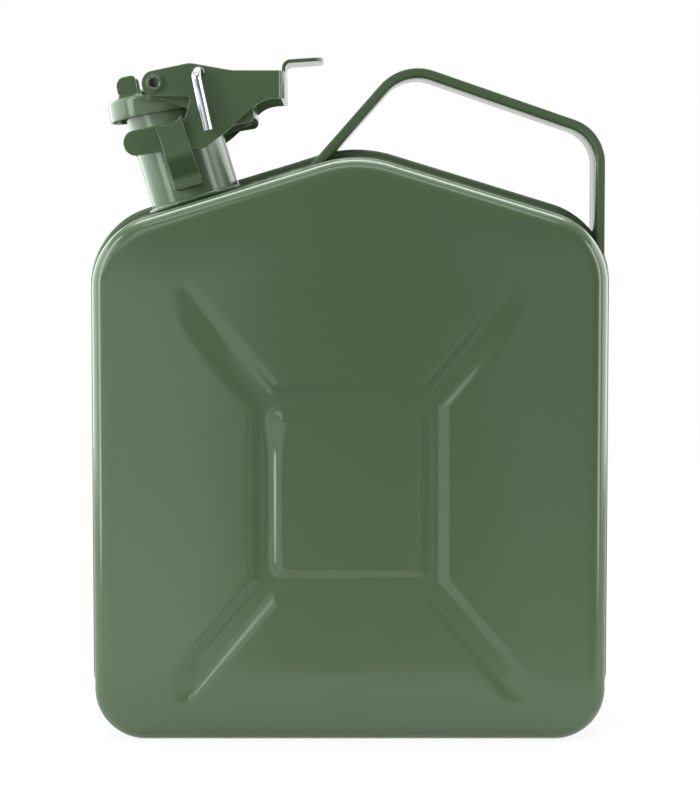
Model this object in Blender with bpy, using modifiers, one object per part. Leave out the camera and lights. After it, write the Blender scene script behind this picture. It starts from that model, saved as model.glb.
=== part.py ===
"""Metal jerry can for five litres of fuel, painted sheet steel.

Two deep drawn half shells meet at a raised centre seam. A neck tube stands on
the left slope, with a lid that is held by a U-shaped cam lever: the hooks of
the lever catch under two pins beside the neck. The lid, its bridge and the
lever swing back together about a hinge pin at the rear of the neck yoke.

Units are metres. +Z is up, +X runs from the neck to the handle's rear foot,
and the origin is the middle of the sole.
"""

import math

import bmesh
import bpy
from mathutils import Matrix, Vector

# General clearances and cuts
GAP = 0.0003
OVERRUN = 0.002
ARC_STEPS = 5
ROUND_STEPS = 24
FLAT_ANGLE = math.radians(0.05)

# Can body
BODY_WIDTH = 0.241
BODY_DEPTH = 0.104
SHEET = 0.001
PEAK_X = 0.003
PEAK_HEIGHT = 0.2762
SLOPE = math.radians(17.0)
SOLE_CORNER_RADIUS = 0.024
SHOULDER_RADIUS = 0.034
PEAK_RADIUS = 0.055
RIM_RADIUS = 0.007
WALL_DRAFT = 0.0022
SEAM_HEIGHT = 0.0036
SOLE_RISE = 0.0008
SOLE_SEAM_STRIP = 0.012

# Pressed square and cross in the faces, sizes of the channel's floor
PANEL_X = -0.001
PANEL_HEIGHT = 0.118
CHANNEL_DEPTH = 0.003
CHANNEL_EDGE_RADIUS = 0.002
CHANNEL_BACKING = 0.004
SQUARE_HALF_WIDTH = 0.0343
SQUARE_HALF_HEIGHT = 0.0408
SQUARE_CORNER_RADIUS = 0.0045
RING_HALF_WIDTH = 0.0424
RING_HALF_HEIGHT = 0.0455
ARM_ROOT_DROP = 0.006
ARM_ROOT_INSET = 0.009
ARM_TIP_X = 0.0776
ARM_TIP_HEIGHT = 0.0915
ARM_TIP_RADIUS = 0.00745

# Neck
NECK_X = -0.0742
NECK_TILT = math.radians(16.7)
NECK_RADIUS = 0.0215
NECK_WALL = 0.0012
NECK_BELOW_SHELL = 0.007
NECK_LENGTH = 0.0479
NECK_LIP_RADIUS = 0.0012
NECK_WELD_WIDTH = 0.0028
NECK_WELD_HEIGHT = 0.0026

# Breather tube inside the neck
BREATHER_RADIUS = 0.0033
BREATHER_BORE_RADIUS = 0.0025
BREATHER_TOP_DEPTH = 0.010
BREATHER_DROP = 0.024
BREATHER_BEND_RADIUS = 0.014
BREATHER_REACH = 0.034
BREATHER_RISE = math.radians(12.0)

# Yoke round the neck
YOKE_THICKNESS = 0.0015
YOKE_BOTTOM = 0.026
YOKE_WIDTH = 0.0125
YOKE_FRONT = 0.0245
YOKE_REAR = 0.043
YOKE_BEND_RADIUS = 0.006
HINGE_X = 0.033
HINGE_HEIGHT = 0.033
HINGE_PIN_RADIUS = 0.002
SPACER_RADIUS = 0.004

# Lid, with its own tilt and its origin at the centre of the neck's mouth
LID_TILT = math.radians(10.0)
LID_RADIUS = 0.0235
LID_FRONT_CENTRE = -0.0054
LID_REAR_CENTRE = 0.0023
LID_SKIRT_BOTTOM = -0.0039
LID_TOP = 0.0063
LID_SHEET = 0.001
LID_EDGE_RADIUS = 0.0025
GASKET_THICKNESS = 0.0034
RETAINER_RADIUS = 0.012
RETAINER_THICKNESS = 0.001
LID_RIVET_RADIUS = 0.003
LID_RIVET_HEAD_RADIUS = 0.005
LID_RIVET_HEAD_HEIGHT = 0.0013

# Bridge on the lid
BRIDGE_SHEET = 0.0015
BRIDGE_SIDE = 0.0251
BRIDGE_SHOULDER_FRONT = -0.009
BRIDGE_SHOULDER_REAR = 0.010
BRIDGE_EAR_RADIUS = 0.006
BRIDGE_HINGE_RADIUS = 0.005
NOSE_FRONT = -0.0225
NOSE_REAR = -0.0125
NOSE_HALF_WIDTH = 0.0095
NOSE_HEIGHT = 0.0094
NOSE_RADIUS = 0.005
NOSE_REAR_RADIUS = 0.002
NOSE_PLAN_RADIUS = 0.001

# Lever, its origin on the axis of the hollow rivets
RIVET_X = -0.0026
RIVET_HEIGHT = 0.0093
LEVER_SHEET = 0.002
LEVER_END_RADIUS = 0.0062
LEVER_REAR = 0.0614
LEVER_BEND_RADIUS = 0.005
LEVER_TOP = 0.0062
LEVER_CREST_X = 0.0165
LEVER_CREST_HEIGHT = 0.0097
LEVER_CREST_RADIUS = 0.010
LEVER_WAIST_X = 0.0364
LEVER_WAIST_RADIUS = 0.020
LEVER_REAR_BOTTOM = -0.0069
LEVER_HEEL_X = 0.0505
LEVER_HEEL_HEIGHT = -0.0078
LEVER_HEEL_RADIUS = 0.014
LEVER_LOBE_X = 0.0334
LEVER_LOBE_HEIGHT = -0.0229
LEVER_TOE_BACK_X = 0.0232
LEVER_TOE_BACK_HEIGHT = -0.0304
LEVER_TOE_BACK_RADIUS = 0.008
LEVER_TOE_BOTTOM = -0.0326
LEVER_TOE_TOP = -0.0309
LEVER_TOE_RADIUS = 0.0006
HOOK_SLOPE = math.radians(62)
HOOK_END = math.radians(25)
LEVER_THROAT_X = 0.0169
LEVER_THROAT_HEIGHT = -0.0064
LEVER_THROAT_RADIUS = 0.0015
LEVER_FRONT_BOTTOM_X = -0.0015
TAB_REAR = 0.0792
TAB_TOP = 0.0138
TAB_RISE = math.radians(3.6)
TAB_BEND_RADIUS = 0.0045
TAB_ROOT = 0.001
TAB_HALF_WIDTH = 0.014
TAB_CORNER_RADIUS = 0.005

# Catch pins and straps
CATCH_HEIGHT = 0.030
CATCH_PIN_RADIUS = 0.0025
STRAP_THICKNESS = 0.0018
STRAP_FRONT = -0.0067
STRAP_REAR = 0.0063
STRAP_BOTTOM = 0.0073
STRAP_TOP = 0.0395
STRAP_CRANK_BOTTOM = 0.0125
STRAP_CRANK_TOP = 0.0215
STRAP_BEND_RADIUS = 0.005
STRAP_NOTCH_RADIUS = 0.0085
STRAP_NOTCH_DEPTH = 0.0026

# Hollow rivets and washers
RIVET_RADIUS = 0.003
RIVET_BORE_RADIUS = 0.0021
RIVET_HEAD_RADIUS = 0.0036
RIVET_HEAD_HEIGHT = 0.0007
WASHER_RADIUS = 0.0043
WASHER_THICKNESS = 0.0008

# Locking pin
LOCK_X = 0.0209
LOCK_HEIGHT = 0.0055
LOCK_RADIUS = 0.0023
LOCK_BEND_RADIUS = 0.0036
LOCK_LENGTH = 0.0285
LOCK_TILT = math.radians(12.0)
LOCK_RING_RADIUS = 0.0045
LOCK_RING_THICKNESS = 0.0008
LOCK_END = 0.0012

# Handle
HANDLE_WIDTH = 0.027
HANDLE_SHEET = 0.0015
HANDLE_EDGE_HEIGHT = 0.0048
HANDLE_FRONT_X = -0.0213
HANDLE_FRONT_DROP = 0.0071
HANDLE_TOP_X = 0.0251
HANDLE_TOP_RISE = 0.0456
HANDLE_TOP_RADIUS = 0.024
HANDLE_REAR_X = 0.1225
HANDLE_CORNER_RISE = 0.012
HANDLE_CORNER_RADIUS = 0.022
HANDLE_REAR_DROP = 0.0477

# Places that follow from the sizes above
HALF_DEPTH = BODY_DEPTH / 2
NECK_HEIGHT = PEAK_HEIGHT - (PEAK_X - NECK_X) * math.tan(SLOPE) + WALL_DRAFT - GAP
HANDLE_FRONT_HEIGHT = PEAK_HEIGHT - HANDLE_FRONT_DROP
HANDLE_TOP_HEIGHT = PEAK_HEIGHT + HANDLE_TOP_RISE
HANDLE_CORNER_HEIGHT = PEAK_HEIGHT + HANDLE_CORNER_RISE
HANDLE_REAR_BOTTOM = PEAK_HEIGHT - HANDLE_REAR_DROP
YOKE_SIDE = NECK_RADIUS + GAP
YOKE_OUTSIDE = YOKE_SIDE + YOKE_THICKNESS
BRIDGE_OUTSIDE = BRIDGE_SIDE + BRIDGE_SHEET
LEVER_SIDE = BRIDGE_OUTSIDE + GAP
LEVER_OUTSIDE = LEVER_SIDE + LEVER_SHEET
STRAP_SIDE = LEVER_OUTSIDE + GAP + GAP
GASKET_BOTTOM = NECK_LIP_RADIUS + GAP
GASKET_TOP = GASKET_BOTTOM + GASKET_THICKNESS
LID_CEILING = LID_TOP - LID_SHEET
BRIDGE_BOTTOM = LID_TOP + GAP
BRIDGE_TOP = BRIDGE_BOTTOM + BRIDGE_SHEET
LID_CENTRE = (LID_FRONT_CENTRE + LID_REAR_CENTRE) / 2
FRONT = -1
REAR = 1


def clear_scene():
    for old in list(bpy.data.objects):
        bpy.data.objects.remove(old, do_unlink=True)


def make_collection(name):
    group = bpy.data.collections.new(name)
    bpy.context.scene.collection.children.link(group)
    return group


def make_material(name, colour, roughness, metallic):
    material = bpy.data.materials.new(name)
    material.use_nodes = True
    shader = material.node_tree.nodes["Principled BSDF"]
    shader.inputs["Base Color"].default_value = (*colour, 1)
    shader.inputs["Roughness"].default_value = roughness
    shader.inputs["Metallic"].default_value = metallic
    return material


def make_frame(name, location, tilt, parent=None):
    """An empty whose local X and Z lie in the can's centre plane."""
    frame = bpy.data.objects.new(name, None)
    frame.location = location
    frame.rotation_euler = (0, -tilt, 0)
    frame.parent = parent
    PART.objects.link(frame)
    bpy.context.view_layer.update()
    return frame


def add_object(name, mesh, parent=None, material=None, cutter=False):
    item = bpy.data.objects.new(name, mesh)
    item.parent = parent
    if cutter:
        CUTTERS.objects.link(item)
        item.hide_render = True
        item.display_type = "WIRE"
    else:
        PART.objects.link(item)
        mesh.materials.clear()
        mesh.materials.append(material)
    return item


def combine(item, other, operation):
    """Boolean of item with another object, which stays as a wire cutter."""
    modifier = item.modifiers.new(other.name, "BOOLEAN")
    modifier.operation = operation
    modifier.object = other
    modifier.solver = "EXACT"


def smooth(mesh, angle=math.radians(35)):
    mesh.shade_smooth()
    mesh.set_sharp_from_angle(angle=angle)


def finish_mesh(work, name):
    bmesh.ops.recalc_face_normals(work, faces=work.faces)
    mesh = bpy.data.meshes.new(name)
    work.to_mesh(mesh)
    work.free()
    smooth(mesh)
    return mesh


def arc(centre, radius, start, end, steps=ARC_STEPS):
    """Points on an arc in the plane, from one angle to another."""
    points = []
    for step in range(steps + 1):
        angle = start + (end - start) * step / steps
        points.append((centre[0] + radius * math.cos(angle),
                       centre[1] + radius * math.sin(angle)))
    return points


def round_corners(points, radii, steps=ARC_STEPS, closed=True):
    """An outline through the points, with each corner rounded by an arc."""
    outline = []
    count = len(points)
    for index, (point, radius) in enumerate(zip(points, radii)):
        end = not closed and index in (0, count - 1)
        if end or radius == 0:
            outline.append(point)
            continue
        corner = Vector(point)
        before = (Vector(points[index - 1]) - corner).normalized()
        after = (Vector(points[(index + 1) % count]) - corner).normalized()
        half = before.angle(after) / 2
        middle = (before + after).normalized()
        centre = corner + middle * (radius / math.sin(half))
        first = corner + before * (radius / math.tan(half)) - centre
        last = corner + after * (radius / math.tan(half)) - centre
        start = math.atan2(first.y, first.x)
        turn = math.atan2(first.cross(last), first.dot(last))
        outline += arc(centre, radius, start, start + turn, steps)
    return outline


def loft(name, rings):
    """A closed mesh through rings of equally many points, capped at both ends."""
    work = bmesh.new()
    layers = [[work.verts.new(point) for point in ring] for ring in rings]
    count = len(rings[0])
    for lower, upper in zip(layers, layers[1:]):
        for index in range(count):
            after = (index + 1) % count
            work.faces.new((lower[index], lower[after], upper[after], upper[index]))
    work.faces.new(layers[0])
    work.faces.new(layers[-1])
    return finish_mesh(work, name)


def curve_mesh(name, curve):
    """The mesh of a curve object, with its loose caps welded on."""
    holder = bpy.data.objects.new(name, curve)
    PART.objects.link(holder)
    bpy.context.view_layer.update()
    depsgraph = bpy.context.evaluated_depsgraph_get()
    mesh = bpy.data.meshes.new_from_object(holder.evaluated_get(depsgraph))
    mesh.name = name
    bpy.data.objects.remove(holder, do_unlink=True)
    work = bmesh.new()
    work.from_mesh(mesh)
    bmesh.ops.remove_doubles(work, verts=work.verts, dist=GAP / 100)
    bmesh.ops.dissolve_limit(work, angle_limit=FLAT_ANGLE, verts=work.verts, edges=work.edges)
    bmesh.ops.recalc_face_normals(work, faces=work.faces)
    work.to_mesh(mesh)
    work.free()
    smooth(mesh)
    return mesh


def flat_curve(name, outlines, thickness, edge_radius=0):
    """A filled flat curve of closed outlines, extruded to a thickness."""
    curve = bpy.data.curves.new(name, "CURVE")
    curve.dimensions = "2D"
    curve.fill_mode = "BOTH"
    curve.bevel_depth = edge_radius
    curve.bevel_resolution = 1
    curve.extrude = thickness / 2 - edge_radius
    for outline in outlines:
        spline = curve.splines.new("POLY")
        spline.points.add(len(outline) - 1)
        for point, place in zip(spline.points, outline):
            point.co = (place[0], place[1], 0, 1)
        spline.use_cyclic_u = True
    return curve


SIDE_VIEW = Matrix(((1, 0, 0), (0, 0, -1), (0, 1, 0))).to_4x4()
END_VIEW = Matrix(((0, 0, 1), (1, 0, 0), (0, 1, 0))).to_4x4()
PLAN_VIEW = Matrix.Identity(4)


def plate(name, outlines, thickness, place, view=SIDE_VIEW, edge_radius=0):
    """A plate whose outline lies in a side, end or plan view of its frame."""
    mesh = curve_mesh(name, flat_curve(name, outlines, thickness, edge_radius))
    mesh.transform(Matrix.Translation(place) @ view)
    return mesh


def profile_mesh(name, profile):
    """A closed profile of radius and height, without edges on the axis."""
    mesh = bpy.data.meshes.new(name)
    points = [(radius, 0, height) for radius, height in profile]
    pairs = [(index, (index + 1) % len(points)) for index in range(len(points))]
    edges = [pair for pair in pairs if points[pair[0]][0] + points[pair[1]][0] > 0]
    mesh.from_pydata(points, edges, [])
    return mesh


def add_turned(name, profile, parent=None, material=None, cutter=False, steps=ROUND_STEPS):
    """A turned object from a closed profile, outer side first from the top."""
    item = add_object(name, profile_mesh(name, profile), parent, material, cutter)
    screw = item.modifiers.new("Turn", "SCREW")
    screw.axis = "Z"
    screw.angle = math.tau
    screw.steps = steps
    screw.render_steps = steps
    screw.use_merge_vertices = True
    screw.merge_threshold = GAP / 100
    screw.use_smooth_shade = False
    return item


def tube_profile(outer, inner, bottom, top):
    return [(outer, top), (outer, bottom), (inner, bottom), (inner, top)]


def rod(name, radius, length, parent, place, cutter=True, material=None, steps=ROUND_STEPS):
    """A round rod along Y, centred on a place in its frame."""
    work = bmesh.new()
    bmesh.ops.create_cone(work, cap_ends=True, segments=steps, radius1=radius,
                          radius2=radius, depth=length)
    work.transform(Matrix.Translation(place) @ Matrix.Rotation(math.pi / 2, 4, "X"))
    return add_object(name, finish_mesh(work, name), parent, material, cutter)


def body_outline(grow, sole):
    """The can's outline in front view, grown outward, with its sole at a height.

    The corners keep their centres, so that a grown outline stays parallel.
    """
    half = BODY_WIDTH / 2
    right = half - SHOULDER_RADIUS
    left = -right
    drop = SHOULDER_RADIUS / math.cos(SLOPE)
    right_height = PEAK_HEIGHT - drop - (right - PEAK_X) * math.tan(SLOPE)
    left_height = PEAK_HEIGHT - drop - (PEAK_X - left) * math.tan(SLOPE)
    peak = (PEAK_X, PEAK_HEIGHT - PEAK_RADIUS / math.cos(SLOPE))
    quarter = math.pi / 2
    outline = []
    corner = half - SOLE_CORNER_RADIUS
    for angle in (step * quarter / ARC_STEPS - quarter for step in range(ARC_STEPS + 1)):
        outline.append((corner + (SOLE_CORNER_RADIUS + grow) * math.cos(angle),
                        SOLE_CORNER_RADIUS + (SOLE_CORNER_RADIUS - sole) * math.sin(angle)))
    outline += arc((right, right_height), SHOULDER_RADIUS + grow, 0, quarter - SLOPE)
    outline += arc(peak, PEAK_RADIUS + grow, quarter - SLOPE, quarter + SLOPE)
    outline += arc((left, left_height), SHOULDER_RADIUS + grow, quarter + SLOPE, math.pi)
    for x, z in reversed(outline[:ARC_STEPS + 1]):
        outline.append((-x, z))
    return outline


def body_ring(side, depth, grow, sole):
    """The body outline at a distance from the centre plane."""
    return [(x, side * depth, z) for x, z in body_outline(grow, sole)]


def rim_rings(side, inset, radius):
    """Rings of the rounded rim, from the wall to the face, at a wall offset."""
    rings = []
    start = HALF_DEPTH - RIM_RADIUS
    for step in range(ARC_STEPS + 1):
        angle = math.pi / 2 * step / ARC_STEPS
        pull = inset + radius * (1 - math.cos(angle))
        rings.append(body_ring(side, start + radius * math.sin(angle), -pull, pull))
    return rings


def draft_at(depth):
    return WALL_DRAFT * (1 - depth / (HALF_DEPTH - RIM_RADIUS))


def channel_outlines():
    """Closed outlines of the pressed channel's floor: the cross, then the square."""
    arm = Vector((ARM_TIP_X - SQUARE_HALF_WIDTH, ARM_TIP_HEIGHT - SQUARE_HALF_HEIGHT))
    slant = math.atan2(arm.y, arm.x)
    quarter = [(RING_HALF_WIDTH, RING_HALF_HEIGHT - ARM_ROOT_DROP)]
    quarter += arc((ARM_TIP_X, ARM_TIP_HEIGHT), ARM_TIP_RADIUS,
                   slant - math.pi / 2, slant + math.pi / 2)
    quarter.append((RING_HALF_WIDTH - ARM_ROOT_INSET, RING_HALF_HEIGHT))
    cross = list(quarter)
    cross += [(-x, z) for x, z in reversed(quarter)]
    cross += [(-x, -z) for x, z in quarter]
    cross += [(x, -z) for x, z in reversed(quarter)]
    width = SQUARE_HALF_WIDTH
    height = SQUARE_HALF_HEIGHT
    corners = [(width, height), (-width, height), (-width, -height), (width, -height)]
    square = round_corners(corners, [SQUARE_CORNER_RADIUS] * len(corners))
    return [cross, square]


def channel_cutter(name, side, allowance):
    """A solid of the pressed channel, its floor an allowance below the real one."""
    thickness = CHANNEL_DEPTH + CHANNEL_BACKING + allowance
    middle = HALF_DEPTH - CHANNEL_DEPTH - allowance + thickness / 2
    mesh = plate(name, channel_outlines(), thickness,
                 (PANEL_X, side * middle, PANEL_HEIGHT),
                 edge_radius=CHANNEL_EDGE_RADIUS + allowance)
    return add_object(name, mesh, cutter=True)


def build_shell(name, side, neck_hole):
    """One drawn half: a flanged tray with a rounded rim and a pressed channel."""
    seam = GAP / 2
    strip = SOLE_SEAM_STRIP
    outside = [
        body_ring(side, seam, WALL_DRAFT + SEAM_HEIGHT, GAP),
        body_ring(side, seam + SHEET, WALL_DRAFT + SEAM_HEIGHT, GAP),
        body_ring(side, seam + SHEET, WALL_DRAFT, SOLE_RISE),
        body_ring(side, strip, draft_at(strip), 0),
    ] + rim_rings(side, 0, RIM_RADIUS)
    hollow = [
        body_ring(side, -OVERRUN, WALL_DRAFT - SHEET, SOLE_RISE + SHEET),
        body_ring(side, seam + SHEET, WALL_DRAFT - SHEET, SOLE_RISE + SHEET),
        body_ring(side, strip, draft_at(strip) - SHEET, SHEET),
    ] + rim_rings(side, SHEET, RIM_RADIUS - SHEET)
    shell = add_object(name, loft(name, outside), material=PAINT)
    cavity = add_object(name + "_cavity", loft(name, hollow), cutter=True)
    combine(cavity, channel_cutter(name + "_channel_inside", side, SHEET), "DIFFERENCE")
    combine(shell, channel_cutter(name + "_channel", side, 0), "DIFFERENCE")
    combine(shell, cavity, "DIFFERENCE")
    combine(shell, neck_hole, "DIFFERENCE")
    return shell


def build_neck_hole():
    """Hole in both shells for the neck, wider above the surface for its weld."""
    hole = NECK_RADIUS + GAP
    weld = NECK_RADIUS + NECK_WELD_WIDTH + GAP + GAP
    profile = [(weld, SEAM_HEIGHT + OVERRUN), (weld, 0), (hole, 0),
               (hole, -NECK_RADIUS), (0, -NECK_RADIUS), (0, SEAM_HEIGHT + OVERRUN)]
    return add_turned("neck_hole", profile, NECK, cutter=True)


def build_neck():
    tube = add_turned("neck_tube", tube_profile(NECK_RADIUS, NECK_RADIUS - NECK_WALL,
                                                -NECK_BELOW_SHELL,
                                                NECK_LENGTH + NECK_LIP_RADIUS * 3),
                      NECK, PAINT)
    size = NECK_RADIUS * 2
    mouth = [(-size, 0), (size, 0), (size, size), (-size, size)]
    trim = plate("mouth_trim", [mouth], size, (0, 0, 0))
    combine(tube, add_object("mouth_trim", trim, LID, cutter=True), "DIFFERENCE")
    lip_middle = NECK_RADIUS - NECK_WALL / 2
    lip = [(x, z) for x, z in reversed(arc((lip_middle, 0), NECK_LIP_RADIUS, 0,
                                           math.tau * 7 / 8, 7))]
    combine(tube, add_turned("neck_lip", lip, LID, cutter=True), "UNION")
    bead = [(NECK_RADIUS + GAP, NECK_WELD_HEIGHT + GAP),
            (NECK_RADIUS + NECK_WELD_WIDTH, GAP + NECK_WELD_WIDTH / 4),
            (NECK_RADIUS + NECK_WELD_WIDTH, GAP),
            (NECK_RADIUS + GAP, GAP)]
    add_turned("neck_weld", bead, NECK, PAINT)


def pipe(name, points, radius):
    """A round tube or rod along points, as a mesh."""
    curve = bpy.data.curves.new(name, "CURVE")
    curve.dimensions = "3D"
    curve.bevel_depth = radius
    curve.bevel_resolution = 2
    curve.use_fill_caps = True
    spline = curve.splines.new("POLY")
    spline.points.add(len(points) - 1)
    for point, place in zip(spline.points, points):
        point.co = (*place, 1)
    return curve_mesh(name, curve)


def build_breather():
    """Air tube along the inside of the neck and up towards the peak."""
    x = NECK_RADIUS - NECK_WALL - GAP - BREATHER_RADIUS
    top = (x, NECK_LENGTH - BREATHER_TOP_DEPTH)
    corner = (x, -BREATHER_DROP)
    rise = NECK_TILT + BREATHER_RISE
    end = (x + BREATHER_REACH * math.cos(rise), -BREATHER_DROP + BREATHER_REACH * math.sin(rise) -
           BREATHER_REACH * math.sin(NECK_TILT) - BREATHER_REACH * math.sin(NECK_TILT))
    path = round_corners([top, corner, end], [0, BREATHER_BEND_RADIUS, 0], closed=False)
    tube = add_object("breather_tube", pipe("breather_tube", [(a, 0, b) for a, b in path],
                                            BREATHER_RADIUS), NECK, ZINC)
    start = Vector(path[0]) + (Vector(path[0]) - Vector(path[1])).normalized() * OVERRUN
    stop = Vector(path[-1]) + (Vector(path[-1]) - Vector(path[-2])).normalized() * OVERRUN
    inner = [start] + [Vector(place) for place in path[1:-1]] + [stop]
    bore = pipe("breather_bore", [(place.x, 0, place.y) for place in inner],
                BREATHER_BORE_RADIUS)
    combine(tube, add_object("breather_bore", bore, NECK, cutter=True), "DIFFERENCE")


def bent_strip(front, rear, inside, thickness, bend):
    """Plan outline of a strip bent to a U that is open towards the front."""
    outside = inside + thickness
    outer = [(front, outside), (rear, outside), (rear, -outside), (front, -outside)]
    inner = [(front, -inside), (rear - thickness, -inside),
             (rear - thickness, inside), (front, inside)]
    inner_bend = bend - thickness
    return round_corners(outer + inner, [0, bend, bend, 0, 0, inner_bend, inner_bend, 0])


def build_yoke():
    """Bracket bent round the neck, with rounded front ends and a hinge bore."""
    strip = bent_strip(-YOKE_FRONT, YOKE_REAR, YOKE_SIDE, YOKE_THICKNESS, YOKE_BEND_RADIUS)
    top = YOKE_BOTTOM + YOKE_WIDTH
    middle = YOKE_BOTTOM + YOKE_WIDTH / 2
    mesh = plate("neck_yoke", [strip], YOKE_WIDTH, (0, 0, middle), PLAN_VIEW)
    yoke = add_object("neck_yoke", mesh, NECK, PAINT)
    end = YOKE_WIDTH / 2 - GAP
    rear = YOKE_REAR + OVERRUN
    side = round_corners([(-YOKE_FRONT, YOKE_BOTTOM - GAP), (rear, YOKE_BOTTOM - GAP),
                          (rear, top + GAP), (-YOKE_FRONT, top + GAP)], [end, 0, 0, end])
    shape = plate("yoke_side", [side], YOKE_OUTSIDE * 2 + OVERRUN, (0, 0, 0))
    combine(yoke, add_object("yoke_side", shape, NECK, cutter=True), "INTERSECT")
    place = (HINGE_X, 0, HINGE_HEIGHT)
    length = BRIDGE_OUTSIDE * 2
    combine(yoke, rod("hinge_bore", HINGE_PIN_RADIUS + GAP, length + OVERRUN, NECK, place),
            "DIFFERENCE")
    rod("hinge_pin", HINGE_PIN_RADIUS, length, NECK, place, False, STEEL)
    for label, side_sign in SIDES:
        profile = tube_profile(SPACER_RADIUS, HINGE_PIN_RADIUS + GAP,
                               YOKE_OUTSIDE + GAP, BRIDGE_SIDE - GAP)
        spacer = add_turned("hinge_spacer_" + label, profile, NECK, STEEL)
        lay_along_y(spacer, HINGE_X, HINGE_HEIGHT, side_sign)


def lay_along_y(item, x, z, side_sign):
    """Turn a piece so that its own +Z points out along Y on the given side."""
    item.location = (x, 0, z)
    item.rotation_euler = (-side_sign * math.pi / 2, 0, 0)


def build_straps():
    """Cranked straps beside the neck, and the catch pins behind them."""
    low = NECK_RADIUS + GAP
    inner = [(low, STRAP_BOTTOM), (low, STRAP_CRANK_BOTTOM), (STRAP_SIDE, STRAP_CRANK_TOP),
             (STRAP_SIDE, STRAP_TOP)]
    outer = [(y + STRAP_THICKNESS, z) for y, z in reversed(inner)]
    bend = STRAP_BEND_RADIUS
    width = STRAP_REAR - STRAP_FRONT
    middle = (STRAP_REAR + STRAP_FRONT) / 2
    for label, side_sign in SIDES:
        profile = round_corners([(side_sign * y, z) for y, z in inner + outer],
                                [0, bend, bend, 0, 0, bend, bend, 0], 3)
        name = "catch_strap_" + label
        mesh = plate(name, [profile], width, (middle, 0, 0), END_VIEW)
        strap = add_object(name, mesh, NECK, PAINT)
        notch_height = STRAP_TOP + STRAP_NOTCH_RADIUS - STRAP_NOTCH_DEPTH
        notch = rod(name + "_notch", STRAP_NOTCH_RADIUS, STRAP_THICKNESS * 3, NECK,
                    (middle, side_sign * (STRAP_SIDE + STRAP_THICKNESS / 2), notch_height))
        combine(strap, notch, "DIFFERENCE")
        length = STRAP_SIDE - YOKE_OUTSIDE - GAP - GAP
        reach = YOKE_OUTSIDE + GAP + length / 2
        rod("catch_pin_" + label, CATCH_PIN_RADIUS, length, NECK,
            (0, side_sign * reach, CATCH_HEIGHT), False, STEEL)


def lid_outline(inset):
    """Long round outline of the lid in plan view."""
    radius = LID_RADIUS - inset
    quarter = math.pi / 2
    steps = ARC_STEPS * 2
    outline = arc((LID_REAR_CENTRE, 0), radius, -quarter, quarter, steps)
    outline += arc((LID_FRONT_CENTRE, 0), radius, quarter, quarter + math.pi, steps)
    return outline


def lid_ring(height, inset):
    return [(x, y, height) for x, y in lid_outline(inset)]


def build_lid():
    """Pressed cap with a skirt and a rounded top edge, and what it holds."""
    edge = []
    for step in range(ARC_STEPS):
        angle = math.pi / 2 * step / (ARC_STEPS - 1)
        edge.append((math.sin(angle) - 1, 1 - math.cos(angle)))
    inner = LID_EDGE_RADIUS - LID_SHEET
    rings = [lid_ring(LID_CEILING + inner * rise, LID_SHEET + inner * pull)
             for rise, pull in reversed(edge)]
    rings.append(lid_ring(LID_SKIRT_BOTTOM, LID_SHEET))
    rings.append(lid_ring(LID_SKIRT_BOTTOM, 0))
    rings += [lid_ring(LID_TOP + LID_EDGE_RADIUS * rise, LID_EDGE_RADIUS * pull)
              for rise, pull in edge]
    lid = add_object("lid", loft("lid", rings), LID, PAINT)
    hole = LID_RIVET_RADIUS + GAP
    bore = add_turned("lid_bore", tube_profile(hole, 0, -LID_TOP, LID_TOP * 2), LID, cutter=True)
    bore.location = (LID_CENTRE, 0, 0)
    combine(lid, bore, "DIFFERENCE")

    clear = LID_SHEET + GAP * 3
    middle = (GASKET_BOTTOM + GASKET_TOP) / 2
    opening = arc((LID_CENTRE, 0), hole, 0, math.tau * 11 / 12, 11)
    pad = plate("lid_gasket", [lid_outline(clear), opening], GASKET_THICKNESS,
                (0, 0, middle), PLAN_VIEW)
    add_object("lid_gasket", pad, LID, RUBBER)

    top = GASKET_BOTTOM - GAP
    bottom = top - RETAINER_THICKNESS
    retainer = add_turned("gasket_retainer", tube_profile(RETAINER_RADIUS, hole, bottom, top),
                          LID, ZINC)
    retainer.location = (LID_CENTRE, 0, 0)
    head_top = BRIDGE_TOP + GAP + LID_RIVET_HEAD_HEIGHT
    head_bottom = bottom - GAP - LID_RIVET_HEAD_HEIGHT
    profile = [(0, head_top), (LID_RIVET_RADIUS, head_top),
               (LID_RIVET_HEAD_RADIUS, BRIDGE_TOP + GAP + LID_RIVET_HEAD_HEIGHT / 3),
               (LID_RIVET_HEAD_RADIUS, BRIDGE_TOP + GAP), (LID_RIVET_RADIUS, BRIDGE_TOP + GAP),
               (LID_RIVET_RADIUS, bottom - GAP), (LID_RIVET_HEAD_RADIUS, bottom - GAP),
               (LID_RIVET_HEAD_RADIUS, bottom - GAP - LID_RIVET_HEAD_HEIGHT / 3),
               (LID_RIVET_RADIUS, head_bottom), (0, head_bottom)]
    rivet = add_turned("lid_rivet", profile, LID, STEEL)
    rivet.location = (LID_CENTRE, 0, 0)
    return bore


def bridge_side_outline(hinge):
    """Side plate of the bridge, from the ear at the lever's rivet to the hinge."""
    drop = math.atan2(hinge[1] - RIVET_HEIGHT, hinge[0] - RIVET_X)
    quarter = math.pi / 2
    ear = arc((RIVET_X, RIVET_HEIGHT), BRIDGE_EAR_RADIUS, drop + quarter,
              drop + quarter + math.pi, ARC_STEPS * 2)
    return ear + arc(hinge, BRIDGE_HINGE_RADIUS, drop - quarter, drop + quarter)


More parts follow.
